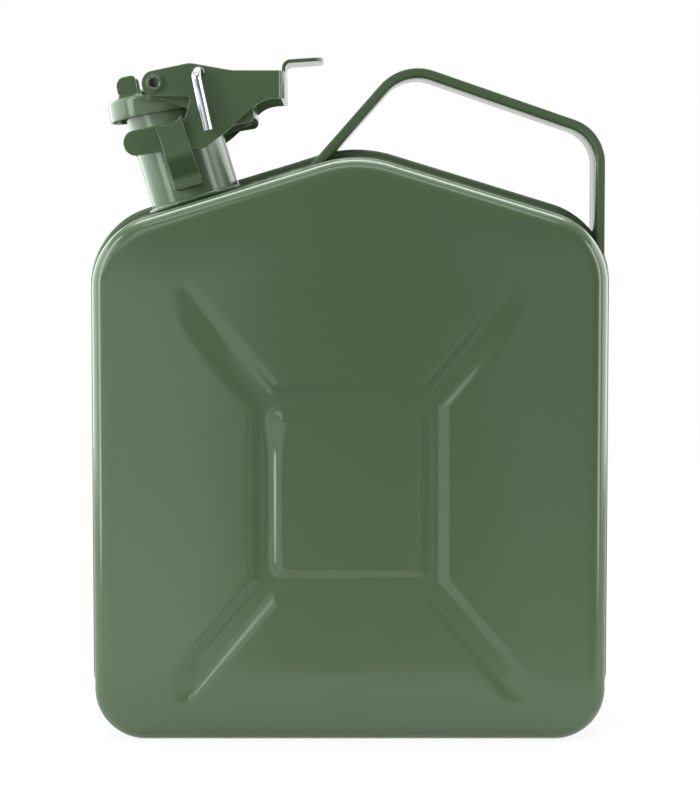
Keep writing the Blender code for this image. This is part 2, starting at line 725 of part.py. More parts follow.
def build_bridge(bore):
    """Pressed bridge over the lid: base, two side plates and a turned-up nose."""
    outside = BRIDGE_OUTSIDE - GAP
    nose = NOSE_HALF_WIDTH
    plan = [(BRIDGE_SHOULDER_REAR, -outside), (BRIDGE_SHOULDER_REAR, outside),
            (BRIDGE_SHOULDER_FRONT, outside), (NOSE_REAR, nose), (NOSE_FRONT, nose),
            (NOSE_FRONT, -nose), (NOSE_REAR, -nose), (BRIDGE_SHOULDER_FRONT, -outside)]
    corner = NOSE_PLAN_RADIUS
    outline = round_corners(plan, [0, 0, 0, 0, corner, corner, 0, 0])
    base = plate("lid_bridge", [outline], BRIDGE_SHEET,
                 (0, 0, (BRIDGE_BOTTOM + BRIDGE_TOP) / 2), PLAN_VIEW)
    bridge = add_object("lid_bridge", base, LID, PAINT)
    hinge = hinge_in_lid_frame()
    top = BRIDGE_BOTTOM + NOSE_HEIGHT
    lip = round_corners([(NOSE_FRONT + GAP, BRIDGE_BOTTOM + GAP), (NOSE_REAR, BRIDGE_BOTTOM + GAP),
                         (NOSE_REAR - NOSE_REAR_RADIUS, top), (NOSE_FRONT + GAP, top)],
                        [NOSE_REAR_RADIUS, 0, NOSE_REAR_RADIUS, NOSE_RADIUS])
    for label, side_sign in SIDES:
        cheek = plate("bridge_side_" + label, [bridge_side_outline(hinge)], BRIDGE_SHEET,
                      (0, side_sign * (BRIDGE_SIDE + BRIDGE_SHEET / 2), 0))
        combine(bridge, add_object("bridge_side_" + label, cheek, LID, cutter=True), "UNION")
        ledge = nose - GAP - BRIDGE_SHEET / 2
        wing = plate("nose_" + label, [lip], BRIDGE_SHEET, (0, side_sign * ledge, 0))
        combine(bridge, add_object("nose_" + label, wing, LID, cutter=True), "UNION")
    length = BRIDGE_OUTSIDE * 2 + OVERRUN
    combine(bridge, rod("bridge_hinge_bore", HINGE_PIN_RADIUS + GAP, length, LID,
                        (hinge[0], 0, hinge[1])), "DIFFERENCE")
    relief = RIVET_HEAD_HEIGHT + GAP * 3
    for label, side_sign in SIDES:
        place = (RIVET_X, side_sign * BRIDGE_SIDE, RIVET_HEIGHT)
        combine(bridge, rod("bridge_rivet_bore_" + label, RIVET_RADIUS + GAP,
                            BRIDGE_SHEET * 3, LID, place), "DIFFERENCE")
        place = (RIVET_X, side_sign * (BRIDGE_SIDE + GAP / 2 - relief / 2), RIVET_HEIGHT)
        combine(bridge, rod("bridge_relief_" + label, RIVET_HEAD_RADIUS + GAP * 2,
                            relief, LID, place), "DIFFERENCE")
    combine(bridge, bore, "DIFFERENCE")


def hinge_in_lid_frame():
    """The hinge axis of the yoke, seen from the lid's own frame."""
    place = NECK.matrix_world @ Vector((HINGE_X, 0, HINGE_HEIGHT))
    local = LID.matrix_world.inverted() @ place
    return (local.x, local.z)


def catch_in_lever_frame():
    place = NECK.matrix_world @ Vector((0, 0, CATCH_HEIGHT))
    local = LEVER.matrix_world.inverted() @ place
    return (local.x, local.z)


def lever_side_outline():
    """Side view of the lever: rounded front end, hooked lobe and rear bar."""
    catch = catch_in_lever_frame()
    seat = CATCH_PIN_RADIUS + GAP
    end = LEVER_END_RADIUS
    front = arc((0, 0), end, math.radians(255), math.radians(112), ARC_STEPS * 2)
    crest = round_corners([front[-1], (LEVER_CREST_X, LEVER_CREST_HEIGHT),
                           (LEVER_WAIST_X, LEVER_TOP), (LEVER_REAR, LEVER_TOP)],
                          [0, LEVER_CREST_RADIUS, LEVER_WAIST_RADIUS, 0], closed=False)
    hook = arc(catch, seat, HOOK_SLOPE - math.pi / 2, HOOK_END)
    toe = hook[0][0] - (hook[0][1] - LEVER_TOE_TOP) / math.tan(HOOK_SLOPE)
    under = round_corners([(LEVER_REAR, LEVER_REAR_BOTTOM), (LEVER_HEEL_X, LEVER_HEEL_HEIGHT),
                           (LEVER_LOBE_X, LEVER_LOBE_HEIGHT),
                           (LEVER_TOE_BACK_X, LEVER_TOE_BACK_HEIGHT),
                           (toe, LEVER_TOE_BOTTOM), (toe, LEVER_TOE_TOP), hook[0]],
                          [0, LEVER_HEEL_RADIUS, LEVER_TOE_BACK_RADIUS / 2,
                           LEVER_TOE_BACK_RADIUS, LEVER_TOE_RADIUS, LEVER_TOE_RADIUS, 0],
                          closed=False)
    throat = round_corners([hook[-1], (LEVER_THROAT_X, LEVER_THROAT_HEIGHT),
                            (LEVER_FRONT_BOTTOM_X, front[0][1])],
                           [0, LEVER_THROAT_RADIUS, 0], closed=False)
    return front + crest[1:] + under + hook[1:] + throat[1:]


def build_lever():
    """U-shaped cam lever with a thumb tab on its rear web."""
    strip = bent_strip(-LEVER_END_RADIUS - OVERRUN, LEVER_REAR, LEVER_SIDE, LEVER_SHEET,
                       LEVER_BEND_RADIUS)
    top = LEVER_CREST_HEIGHT + OVERRUN
    bottom = LEVER_TOE_BOTTOM - OVERRUN
    mesh = plate("lever", [strip], top - bottom, (0, 0, (top + bottom) / 2), PLAN_VIEW)
    lever = add_object("lever", mesh, LEVER, PAINT)
    shape = plate("lever_side", [lever_side_outline()], LEVER_OUTSIDE * 2 + OVERRUN, (0, 0, 0))
    combine(lever, add_object("lever_side", shape, LEVER, cutter=True), "INTERSECT")

    combine(lever, build_tab(), "UNION")
    length = LEVER_OUTSIDE * 2 + OVERRUN
    combine(lever, rod("lever_rivet_bore", RIVET_RADIUS + GAP, length, LEVER, (0, 0, 0)),
            "DIFFERENCE")
    combine(lever, rod("lock_bore", LOCK_RADIUS + GAP, length, LEVER,
                       (LOCK_X, 0, LOCK_HEIGHT)), "DIFFERENCE")


def build_tab():
    """Thumb tab: rises from the rear web and bends towards the handle."""
    web = LEVER_REAR - GAP
    sheet = LEVER_SHEET - GAP - GAP
    tip_top = TAB_TOP
    run = TAB_REAR - web
    corner_top = tip_top - run * math.tan(TAB_RISE)
    path = [(web, LEVER_TOP - TAB_ROOT), (web, corner_top - sheet), (TAB_REAR, tip_top - sheet),
            (TAB_REAR, tip_top), (web - sheet, corner_top), (web - sheet, LEVER_TOP - TAB_ROOT)]
    bend = TAB_BEND_RADIUS
    outline = round_corners(path, [0, bend - sheet, 0, 0, bend, 0])
    tab = add_object("thumb_tab", plate("thumb_tab", [outline], TAB_HALF_WIDTH * 2, (0, 0, 0)),
                     LEVER, cutter=True)
    half = TAB_HALF_WIDTH
    front = LEVER_REAR - LEVER_SHEET - OVERRUN
    plan = round_corners([(front, -half - GAP), (TAB_REAR + GAP, -half - GAP),
                          (TAB_REAR + GAP, half + GAP), (front, half + GAP)],
                         [0, TAB_CORNER_RADIUS, TAB_CORNER_RADIUS, 0])
    height = TAB_TOP + LEVER_TOP
    shape = plate("tab_plan", [plan], height, (0, 0, TAB_TOP + OVERRUN - height / 2), PLAN_VIEW)
    combine(tab, add_object("tab_plan", shape, LEVER, cutter=True), "INTERSECT")
    return tab


def build_rivets():
    """Hollow rivets through bridge and lever, each with a washer outside."""
    bore = RIVET_RADIUS + GAP
    washer_bottom = LEVER_OUTSIDE + GAP
    washer_top = washer_bottom + WASHER_THICKNESS
    inner_top = BRIDGE_SIDE - GAP
    outer_bottom = washer_top + GAP
    profile = [(RIVET_HEAD_RADIUS, outer_bottom + RIVET_HEAD_HEIGHT),
               (RIVET_HEAD_RADIUS, outer_bottom), (RIVET_RADIUS, outer_bottom),
               (RIVET_RADIUS, inner_top), (RIVET_HEAD_RADIUS, inner_top),
               (RIVET_HEAD_RADIUS, inner_top - RIVET_HEAD_HEIGHT),
               (RIVET_BORE_RADIUS, inner_top - RIVET_HEAD_HEIGHT),
               (RIVET_BORE_RADIUS, outer_bottom + RIVET_HEAD_HEIGHT)]
    for label, side_sign in SIDES:
        rivet = add_turned("lever_rivet_" + label, profile, LID, PAINT)
        lay_along_y(rivet, RIVET_X, RIVET_HEIGHT, side_sign)
        washer = add_turned("rivet_washer_" + label,
                            tube_profile(WASHER_RADIUS, bore, washer_bottom, washer_top),
                            LID, PAINT)
        lay_along_y(washer, RIVET_X, RIVET_HEIGHT, side_sign)


def build_locking_pin():
    """Bent round pin that turns in the lever, with a push-on ring behind."""
    bend = LOCK_BEND_RADIUS
    near = -(LEVER_OUTSIDE + GAP + bend)
    far = LEVER_OUTSIDE + GAP + LOCK_RING_THICKNESS + LOCK_END
    corner = round_corners([(far, 0), (near, 0), (near, -LOCK_LENGTH)], [0, bend, 0],
                           closed=False)
    lean = Matrix.Rotation(-LOCK_TILT, 4, "Y")
    points = [lean @ Vector((0, y, z)) for y, z in corner]
    mesh = pipe("locking_pin", points, LOCK_RADIUS)
    add_object("locking_pin", mesh, LOCK, ZINC)
    bottom = LEVER_OUTSIDE + GAP
    ring = add_turned("pin_retainer", tube_profile(LOCK_RING_RADIUS, LOCK_RADIUS + GAP, bottom,
                                                   bottom + LOCK_RING_THICKNESS), LOCK, STEEL)
    lay_along_y(ring, 0, 0, REAR)


def handle_line(inward):
    """Side view of the handle at a distance inward of its outer edge."""
    corners = [Vector((HANDLE_FRONT_X, HANDLE_FRONT_HEIGHT)),
               Vector((HANDLE_TOP_X, HANDLE_TOP_HEIGHT)),
               Vector((HANDLE_REAR_X, HANDLE_CORNER_HEIGHT)),
               Vector((HANDLE_REAR_X, HANDLE_REAR_BOTTOM))]
    runs = [(last - first).normalized() for first, last in zip(corners, corners[1:])]
    sides = [Vector((run.y, -run.x)) for run in runs]
    points = [corners[0] + sides[0] * inward]
    for corner, before, after in zip(corners[1:], sides, sides[1:]):
        middle = (before + after).normalized()
        points.append(corner + middle * (inward / middle.dot(before)))
    points.append(corners[-1] + sides[-1] * inward)
    radii = [0, HANDLE_TOP_RADIUS - inward, HANDLE_CORNER_RADIUS - inward, 0]
    return round_corners([tuple(point) for point in points], radii, closed=False)


def build_handle():
    """Strip handle with turned-out edges, its feet fitted to the can."""
    half = HANDLE_WIDTH / 2
    deep = HANDLE_EDGE_HEIGHT - HANDLE_SHEET
    section = [(half, 0), (half, HANDLE_EDGE_HEIGHT), (-half, HANDLE_EDGE_HEIGHT), (-half, 0),
               (HANDLE_SHEET - half, 0), (HANDLE_SHEET - half, deep),
               (half - HANDLE_SHEET, deep), (half - HANDLE_SHEET, 0)]
    lines = [[(x, y, z) for x, z in handle_line(inward)] for y, inward in section]
    rings = [list(ring) for ring in zip(*lines)]
    handle = add_object("handle", loft("handle", rings), material=PAINT)
    foot = plate("handle_foot_trim", [body_outline(WALL_DRAFT + GAP, 0)],
                 HANDLE_WIDTH + half, (0, 0, 0))
    combine(handle, add_object("handle_foot_trim", foot, cutter=True), "DIFFERENCE")
    slot = plate("handle_seam_slot", [body_outline(WALL_DRAFT + SEAM_HEIGHT + GAP, 0)],
                 SHEET * 2 + GAP * 3, (0, 0, 0))
    combine(handle, add_object("handle_seam_slot", slot, cutter=True), "DIFFERENCE")


clear_scene()
PART = make_collection("jerry_can")
CUTTERS = make_collection("cutters")
SIDES = (("near", FRONT), ("far", REAR))
PAINT = make_material("olive_paint", (0.085, 0.127, 0.068), 0.32, 0.0)
ZINC = make_material("zinc_plate", (0.72, 0.74, 0.78), 0.22, 1.0)
STEEL = make_material("bare_steel", (0.45, 0.45, 0.46), 0.4, 1.0)
RUBBER = make_material("black_rubber", (0.02, 0.02, 0.02), 0.75, 0.0)

NECK = make_frame("neck_frame", (NECK_X, 0, NECK_HEIGHT), NECK_TILT)
LID = make_frame("lid_frame", (0, 0, NECK_LENGTH), LID_TILT - NECK_TILT, NECK)
LEVER = make_frame("lever_frame", (RIVET_X, 0, RIVET_HEIGHT), -LID_TILT, LID)
LOCK = make_frame("lock_frame", (LOCK_X, 0, LOCK_HEIGHT), 0, LEVER)

NECK_HOLE = build_neck_hole()
build_shell("front_shell", FRONT, NECK_HOLE)
build_shell("rear_shell", REAR, NECK_HOLE)
build_neck()
build_breather()
build_yoke()
build_straps()
build_bridge(build_lid())
build_lever()
build_rivets()
build_locking_pin()
build_handle()
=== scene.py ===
# %% [markdown]
# # A small fuel can of painted sheet steel
# The real can is two deep drawn steel trays, welded rim to rim. A short neck
# stands on its left slope and a lid is held on it by a hooked lever. All of it
# is sprayed with one coat of olive paint, apart from a bright zinc locking pin.
# This notebook dresses the measured model of that can, one piece at a time.
# %% Load the measured model
import math
import bmesh
import bpy
import numpy as np
from mathutils import Matrix, Vector, noise
from mathutils.geometry import delaunay_2d_cdt


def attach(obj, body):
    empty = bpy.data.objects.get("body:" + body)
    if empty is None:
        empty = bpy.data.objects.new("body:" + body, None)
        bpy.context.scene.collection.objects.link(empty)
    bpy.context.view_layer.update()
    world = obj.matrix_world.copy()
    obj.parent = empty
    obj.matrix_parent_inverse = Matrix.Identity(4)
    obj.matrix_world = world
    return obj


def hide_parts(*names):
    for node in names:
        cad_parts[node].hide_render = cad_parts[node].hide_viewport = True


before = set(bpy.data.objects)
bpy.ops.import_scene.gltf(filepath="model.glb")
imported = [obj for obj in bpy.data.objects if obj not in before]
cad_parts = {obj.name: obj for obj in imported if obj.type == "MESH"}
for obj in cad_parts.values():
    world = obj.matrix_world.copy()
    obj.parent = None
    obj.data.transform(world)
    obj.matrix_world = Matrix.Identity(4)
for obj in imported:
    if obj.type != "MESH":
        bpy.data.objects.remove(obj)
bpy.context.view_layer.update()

MM = 0.001
print("pieces in the measured model:", len(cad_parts))
# %% [markdown]
# ## Camera
# The can was photographed almost straight from the front, from about a metre
# away and slightly above, so the side walls just show all round the rim. A
# long lens keeps upright lines upright. The place below was found by lining up
# the far seam and the undersides of the lid and the handle.
# %% Place the camera
def new_object(name, data):
    item = bpy.data.objects.new(name, data)
    bpy.context.scene.collection.objects.link(item)
    return item


FOCAL_LENGTH = 96.98
FILM_WIDTH = 36
CAMERA_PLACE = (0, -1.052, 0.2275)
CAMERA_DIP = 3.8


def add_camera():
    lens = bpy.data.cameras.new("front_camera")
    lens.sensor_fit = "AUTO"
    lens.sensor_width = FILM_WIDTH
    lens.lens = FOCAL_LENGTH
    camera = new_object("front_camera", lens)
    camera.location = CAMERA_PLACE
    camera.rotation_euler = (math.radians(90 - CAMERA_DIP), 0, 0)
    bpy.context.scene.camera = camera
    return camera


CAMERA = add_camera()
print("camera height in mm:", round(CAMERA.location.z / MM, 1))
# %% [markdown]
# ## Outlines
# Sheet metal is drawn flat before it is pressed or bent, so most pieces below
# start as an outline. A corner of a drawing is rounded by an arc that touches
# both of its sides, and that is all these two helpers do.
# %% Arcs and rounded corners
def arc(centre, radius, start, end, steps=12):
    """Points on an arc, from one angle to another."""
    return [(centre[0] + radius * math.cos(a), centre[1] + radius * math.sin(a))
            for a in np.linspace(start, end, steps + 1)]


def rounded(points, radii, steps=8, closed=True):
    """An outline whose corners are rounded, each with its own radius."""
    outline = []
    last = len(points) - 1
    for index, (point, radius) in enumerate(zip(points, radii)):
        if radius == 0 or (not closed and index in (0, last)):
            outline.append(tuple(point))
            continue
        corner = Vector(point)
        before = (Vector(points[index - 1]) - corner).normalized()
        after = (Vector(points[(index + 1) % len(points)]) - corner).normalized()
        half = before.angle(after) / 2
        centre = corner + (before + after).normalized() * (radius / math.sin(half))
        first = corner + before * (radius / math.tan(half)) - centre
        final = corner + after * (radius / math.tan(half)) - centre
        start = math.atan2(first.y, first.x)
        turn = math.atan2(first.cross(final), first.dot(final))
        outline += arc(centre, radius, start, start + turn, steps)
    return outline


def mm_points(points):
    return [(x * MM, z * MM) for x, z in points]


def mm_all(values):
    return [value * MM for value in values]


print("a rounded square has", len(rounded([(0, 0), (1, 0), (1, 1), (0, 1)], [0.1] * 4)),
      "points")
# %% [markdown]
# ## From points to pieces
# Every new piece is a mesh that rides on one moving body of the model and
# stands in for the plain solid there. Smooth shading with sharp edges only
# above 35 degrees suits pressed steel, whose corners are always a little round.
# %% Make a piece
TURN = math.tau
QUARTER = math.pi / 2
PRESSED_EDGE = math.radians(35)
DRAWN_EDGE = math.radians(50)
WELD_EDGE = math.radians(80)


def shade(mesh, angle):
    """Smooth shading, with sharp edges only above an angle."""
    mesh.shade_smooth()
    mesh.set_sharp_from_angle(angle=angle)


def mesh_from(work, name, angle=PRESSED_EDGE):
    """A mesh with its faces turned outward, which fails where a skin crosses
    itself. Corners may have moved, so directions are worked out afresh first."""
    work.normal_update()
    bmesh.ops.recalc_face_normals(work, faces=work.faces)
    mesh = bpy.data.meshes.new(name)
    work.to_mesh(mesh)
    work.free()
    shade(mesh, angle)
    return mesh


def add_piece(name, mesh, body, finish, stands_for=(), place=None):
    """A piece at its place, on its body, with its finish."""
    if place is not None:
        mesh.transform(place)
    piece = new_object(name, mesh)
    mesh.materials.clear()
    mesh.materials.append(finish)
    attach(piece, body)
    if stands_for:
        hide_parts(*stands_for)
    print(name, "faces:", len(mesh.polygons))
    return piece


def skin(work, layers):
    """Faces between each ring of corners and the next."""
    for lower, upper in zip(layers, layers[1:]):
        for index in range(len(lower)):
            after = (index + 1) % len(lower)
            work.faces.new((lower[index], lower[after], upper[after], upper[index]))


def loft(name, rings, wrap=False, angle=PRESSED_EDGE):
    """A skin through rings of equally many points, wrapped round or capped."""
    work = bmesh.new()
    layers = [[work.verts.new(point) for point in ring] for ring in rings]
    skin(work, layers + layers[:1] if wrap else layers)
    if not wrap:
        work.faces.new(layers[0])
        work.faces.new(layers[-1])
    return mesh_from(work, name, angle)


def turned(name, profile, steps=64):
    """A closed profile of radius and height, turned about Z."""
    rings = []
    for a in np.linspace(0, TURN, steps, endpoint=False):
        rings.append([(r * math.cos(a), r * math.sin(a), z) for r, z in profile])
    return loft(name, rings, wrap=True)


def along_y(place, side):
    """A frame whose +Z points out along Y, on the near (-1) or far (1) side."""
    return place @ Matrix.Rotation(-side * QUARTER, 4, "X")


# %% [markdown]
# ## Shared effects for the finishes
# Sprayed paint is never quite flat: it pulls up into a fine orange peel, it
# lies thinner in some places, and handling leaves it a little duller in
# patches. Each effect is a node group, built once and used by more than one
# finish with its own values.
# %% Node helpers
def new_group(name, inputs, outputs):
    """A shader node group with named sockets."""
    group = bpy.data.node_groups.new(name, "ShaderNodeTree")
    for label, kind, value in inputs:
        socket = group.interface.new_socket(label, in_out="INPUT", socket_type=kind)
        if value is not None:
            socket.default_value = value
    for label, kind in outputs:
        group.interface.new_socket(label, in_out="OUTPUT", socket_type=kind)
    return group, group.nodes.new("NodeGroupInput"), group.nodes.new("NodeGroupOutput")


def add_node(tree, kind, **settings):
    """A shader node of a kind, such as Math or Mix."""
    node = tree.nodes.new("ShaderNode" + kind)
    for key, value in settings.items():
        setattr(node, key, value)
    return node


def set_values(node, **values):
    """Values for a node's sockets, named with _ for each blank."""
    for label, value in values.items():
        node.inputs[label.replace("_", " ")].default_value = value
    return node


def link(tree, *pairs):
    for source, target in pairs:
        tree.links.new(source, target)


def ramp(tree, source, low, high, to_low=0.0, to_high=1.0):
    """A clamped straight ramp from one range of values to another."""
    node = set_values(add_node(tree, "MapRange"), From_Min=low, From_Max=high,
                      To_Min=to_low, To_Max=to_high)
    link(tree, (source, node.inputs["Value"]))
    return node.outputs["Result"]


NUMBER = "NodeSocketFloat"
COLOUR = "NodeSocketColor"
POINT = "NodeSocketVector"
print("socket kinds:", NUMBER, COLOUR, POINT)
# %% Orange peel group
def orange_peel_group():
    """Height of sprayed paint, in fine and in broad waves."""
    tree, source, result = new_group(
        "orange_peel",
        [("Place", POINT, None), ("Peel Scale", NUMBER, 700.0),
         ("Wave Scale", NUMBER, 22.0), ("Wave Share", NUMBER, 0.6)],
        [("Height", NUMBER)])
    peel = set_values(add_node(tree, "TexNoise"), Detail=2.0)
    wave = set_values(add_node(tree, "TexNoise"), Detail=1.0)
    for node, label in ((peel, "Peel Scale"), (wave, "Wave Scale")):
        link(tree, (source.outputs["Place"], node.inputs["Vector"]),
             (source.outputs[label], node.inputs["Scale"]))
    mix = add_node(tree, "Mix", data_type="FLOAT")
    link(tree, (source.outputs["Wave Share"], mix.inputs["Factor"]),
         (peel.outputs["Fac"], mix.inputs[2]), (wave.outputs["Fac"], mix.inputs[3]),
         (mix.outputs[0], result.inputs["Height"]))
    return tree


ORANGE_PEEL = orange_peel_group()
print("group:", ORANGE_PEEL.name)
# %% Handling marks group
def handling_group():
    """A colour that is paler in patches, and how dull each place is."""
    tree, source, result = new_group(
        "handling_marks",
        [("Place", POINT, None), ("Colour", COLOUR, (0.1, 0.1, 0.1, 1)),
         ("Pale", COLOUR, (0.2, 0.2, 0.2, 1)), ("Amount", NUMBER, 0.15),
         ("Gloss", NUMBER, 0.3), ("Dull", NUMBER, 0.42)],
        [("Colour", COLOUR), ("Roughness", NUMBER)])
    patch = set_values(add_node(tree, "TexNoise"), Scale=14.0, Detail=5.0,
                       Roughness=0.6)
    speck = set_values(add_node(tree, "TexNoise"), Scale=260.0, Detail=3.0)
    link(tree, (source.outputs["Place"], patch.inputs["Vector"]),
         (source.outputs["Place"], speck.inputs["Vector"]))
    patches = ramp(tree, patch.outputs["Fac"], 0.45, 0.7)
    specks = ramp(tree, speck.outputs["Fac"], 0.35, 0.75, 0.6, 1.0)
    both = add_node(tree, "Math", operation="MULTIPLY")
    share = add_node(tree, "Math", operation="MULTIPLY")
    blend = add_node(tree, "Mix", data_type="RGBA")
    rough = add_node(tree, "Mix", data_type="FLOAT")
    link(tree, (patches, both.inputs[0]), (specks, both.inputs[1]),
         (both.outputs[0], share.inputs[0]), (source.outputs["Amount"], share.inputs[1]),
         (share.outputs[0], blend.inputs["Factor"]),
         (source.outputs["Colour"], blend.inputs[6]),
         (source.outputs["Pale"], blend.inputs[7]),
         (blend.outputs[2], result.inputs["Colour"]),
         (both.outputs[0], rough.inputs["Factor"]),
         (source.outputs["Gloss"], rough.inputs[2]),
         (source.outputs["Dull"], rough.inputs[3]),
         (rough.outputs[0], result.inputs["Roughness"]))
    return tree


HANDLING = handling_group()
print("group:", HANDLING.name)
# %% [markdown]
# ## Finishes
# The coat is one olive enamel, rather glossy. Its colour is set from the middle
# of the face, where the paint shows least reflection. It lies thin on the bent
# parts, thick on the neck and rough on the welds, so each has its own values.
# Plating and rubber are made alike: paler patches, uneven gloss, fine relief.
# %% One kind of coat
def use_group(tree, group, **values):
    return set_values(add_node(tree, "Group", node_tree=group), **values)


def coat(name, colour, pale, gloss, dull, bump, peel=700.0, wave_share=0.6,
         waves=20.0, worn=0.16, relief_depth=0.4 * MM, metallic=0.0):
    """A surface finish: its colours, its gloss and its fine relief."""
    finish = bpy.data.materials.new(name)
    finish.use_nodes = True
    tree = finish.node_tree
    shader = tree.nodes["Principled BSDF"]
    shader.inputs["Metallic"].default_value = metallic
    place = add_node(tree, "TexCoord").outputs["Object"]
    marks = use_group(tree, HANDLING, Colour=(*colour, 1), Pale=(*pale, 1), Amount=worn,
                      Gloss=gloss, Dull=dull)
    height = use_group(tree, ORANGE_PEEL, Peel_Scale=peel, Wave_Scale=waves,
                       Wave_Share=wave_share)
    relief = set_values(add_node(tree, "Bump"), Strength=bump,
                        Distance=relief_depth)
    link(tree, (place, marks.inputs["Place"]), (place, height.inputs["Place"]),
         (marks.outputs["Colour"], shader.inputs["Base Color"]),
         (marks.outputs["Roughness"], shader.inputs["Roughness"]),
         (height.outputs["Height"], relief.inputs["Height"]),
         (relief.outputs["Normal"], shader.inputs["Normal"]))
    return finish


# %% The five kinds of surface
WORN_OLIVE = (0.085, 0.125, 0.072)
METAL = {"wave_share": 0.3, "waves": 90.0, "worn": 0.5, "relief_depth": 0.2 * MM,
         "metallic": 1.0}
OLIVE = coat("olive_enamel", (0.070, 0.105, 0.053), WORN_OLIVE, 0.14, 0.2, 0.05)
SATIN = coat("olive_enamel_thin", (0.067, 0.103, 0.051), WORN_OLIVE, 0.12, 0.2, 0.05)
WELDED = coat("olive_enamel_on_weld", (0.068, 0.104, 0.054), (0.10, 0.14, 0.085),
              0.2, 0.3, 0.4, 260.0, 0.4)
SAGGED = coat("olive_enamel_thick", (0.066, 0.106, 0.054), WORN_OLIVE,
              0.18, 0.28, 0.22, 420.0, 0.5)
ZINC = coat("bright_zinc", (0.56, 0.59, 0.63), (0.68, 0.70, 0.72),
            0.13, 0.22, 0.04, 900.0, **METAL)
STEEL = coat("plain_steel", (0.40, 0.39, 0.38), (0.55, 0.54, 0.53),
             0.34, 0.5, 0.3, 1400.0, **METAL)
RUBBER = coat("fuel_proof_rubber", (0.012, 0.012, 0.012), (0.03, 0.03, 0.03),
              0.6, 0.8, 0.4, 1800.0, 0.1)
for finish in (OLIVE, SATIN, WELDED, SAGGED, ZINC, STEEL, RUBBER):
    print("finish:", finish.name)
# %% [markdown]
# ## The drawn shells
# A drawn tray has a flat face, a rounded rim and walls that open out a little
# towards the seam, or it would never leave the press. The whole outline can be
# grown outward without its corners losing their centres. The two trays meet in
# a narrow upright flange, which is the seam that runs right round the can.
# %% Outline of the can
BODY_WIDTH = 241 * MM
HALF_DEPTH = 52 * MM
PEAK = (3 * MM, 276.2 * MM)
SLOPE = math.radians(17)
SOLE_CORNER = 24 * MM
SHOULDER = 34 * MM
PEAK_RADIUS = 55 * MM
RIM = 8.2 * MM
DRAFT = 2.2 * MM
SEAM = 3.6 * MM
SHEET = 1 * MM
GAP = 0.3 * MM
FACE_CROWN = 1.3 * MM


def can_outline(grow, sole, fine=1):
    """The can from the front, grown outward, with its sole at a height."""
    half = BODY_WIDTH / 2
    right = half - SHOULDER
    drop = SHOULDER / math.cos(SLOPE)
    right_height = PEAK[1] - drop - (right - PEAK[0]) * math.tan(SLOPE)
    left_height = PEAK[1] - drop - (right + PEAK[0]) * math.tan(SLOPE)
    middle = (PEAK[0], PEAK[1] - PEAK_RADIUS / math.cos(SLOPE))
    corner = half - SOLE_CORNER
    steps = 12 * fine
    low = [(corner + (SOLE_CORNER + grow) * math.cos(a),
            SOLE_CORNER + (SOLE_CORNER - sole) * math.sin(a))
           for a in np.linspace(-QUARTER, 0, steps + 1)]
    outline = list(low)
    outline += arc((right, right_height), SHOULDER + grow, 0, QUARTER - SLOPE, steps)
    outline += arc(middle, PEAK_RADIUS + grow, QUARTER - SLOPE, QUARTER + SLOPE, 8 * fine)
    outline += arc((-right, left_height), SHOULDER + grow, QUARTER + SLOPE, math.pi, steps)
    outline += [(-x, z) for x, z in reversed(low)]
    return outline


print("points round the can:", len(can_outline(0, 0)))
# %% [markdown]
# ## The pressed cross and square
# Flat sheet drums and dents, so a cross and a square are pressed into each face
# to stiffen it. A pressing has no sharp edge: the sheet dips over a few
# millimetres, and the dip is soft at the top and at the bottom. Here the depth
# at a point comes from its distance to the edges of the channel. The walls are
# broad on the left and steeper on the right and low down, and the right side is
# less deep, which is what the reflections in the photograph ask for. A face of
# small triangles follows it: they are fine near the channel's edge and coarse
# where the sheet is flat.
# %% Edges of the channel
PANEL = (0, 117 * MM)
ARM_TIP = (77.7, 90.2)
ARM_RADIUS = 6.4 * MM
ARM_SLANT = math.radians(50)
ARM_ROOTS = mm_points([(43.8, 40.6), (35.6, 49.4)])
SQUARE_HALF = (35.0 * MM, 37.6 * MM)
SQUARE_CORNER = 4.5 * MM


def channel_edges():
    """The channel's edges: the cross outside, the square inside."""
    tip = Vector(ARM_TIP) * MM
    quarter = arc(tip, ARM_RADIUS, ARM_SLANT - QUARTER, ARM_SLANT + QUARTER, 10)
    quarter = [ARM_ROOTS[0]] + quarter + [ARM_ROOTS[1]]
    cross = list(quarter)
    cross += [(-x, z) for x, z in reversed(quarter)]
    cross += [(-x, -z) for x, z in quarter]
    cross += [(x, -z) for x, z in reversed(quarter)]
    w, h = SQUARE_HALF
    square = rounded([(w, h), (-w, h), (-w, -h), (w, -h)], [SQUARE_CORNER] * 4)
    return np.array(cross) + PANEL, np.array(square) + PANEL


def distance_to(points, loop):
    """Distance from each point to a loop, negative inside it."""
    best = np.full(len(points), 1e9)
    inside = np.zeros(len(points), bool)
    for a, b in zip(loop, np.roll(loop, -1, axis=0)):
        run = b - a
        t = np.clip(((points - a) @ run) / (run @ run), 0, 1)
        gap = points - (a + t[:, None] * run)
        best = np.minimum(best, np.hypot(gap[:, 0], gap[:, 1]))
        crosses = (a[1] > points[:, 1]) != (b[1] > points[:, 1])
        level = np.where(crosses, (points[:, 1] - a[1]) / (b[1] - a[1] + 1e-12), 0)
        inside ^= crosses & (points[:, 0] < a[0] + level * run[0])
    return np.where(inside, -best, best)


CROSS, SQUARE = channel_edges()
print("points on the cross and the square:", len(CROSS), len(SQUARE))
# %% Depth of the pressing
DIP = 1.9 * MM
LESS_ON_RIGHT = 0.34
WALL_POWER = 2.0
OUTER_LEFT, OUTER_RIGHT = 11.5 * MM, 7.0 * MM
OUTER_LOW, OUTER_HIGH = 6.0 * MM, 4.0 * MM
INNER_LEFT, INNER_RIGHT, INNER_HIGH = 5.8 * MM, 8.5 * MM, 5.0 * MM
ARM_END = 86 * MM


def soft_step(share):
    share = np.clip(share, 0, 1)
    return share * share * (3 - 2 * share)


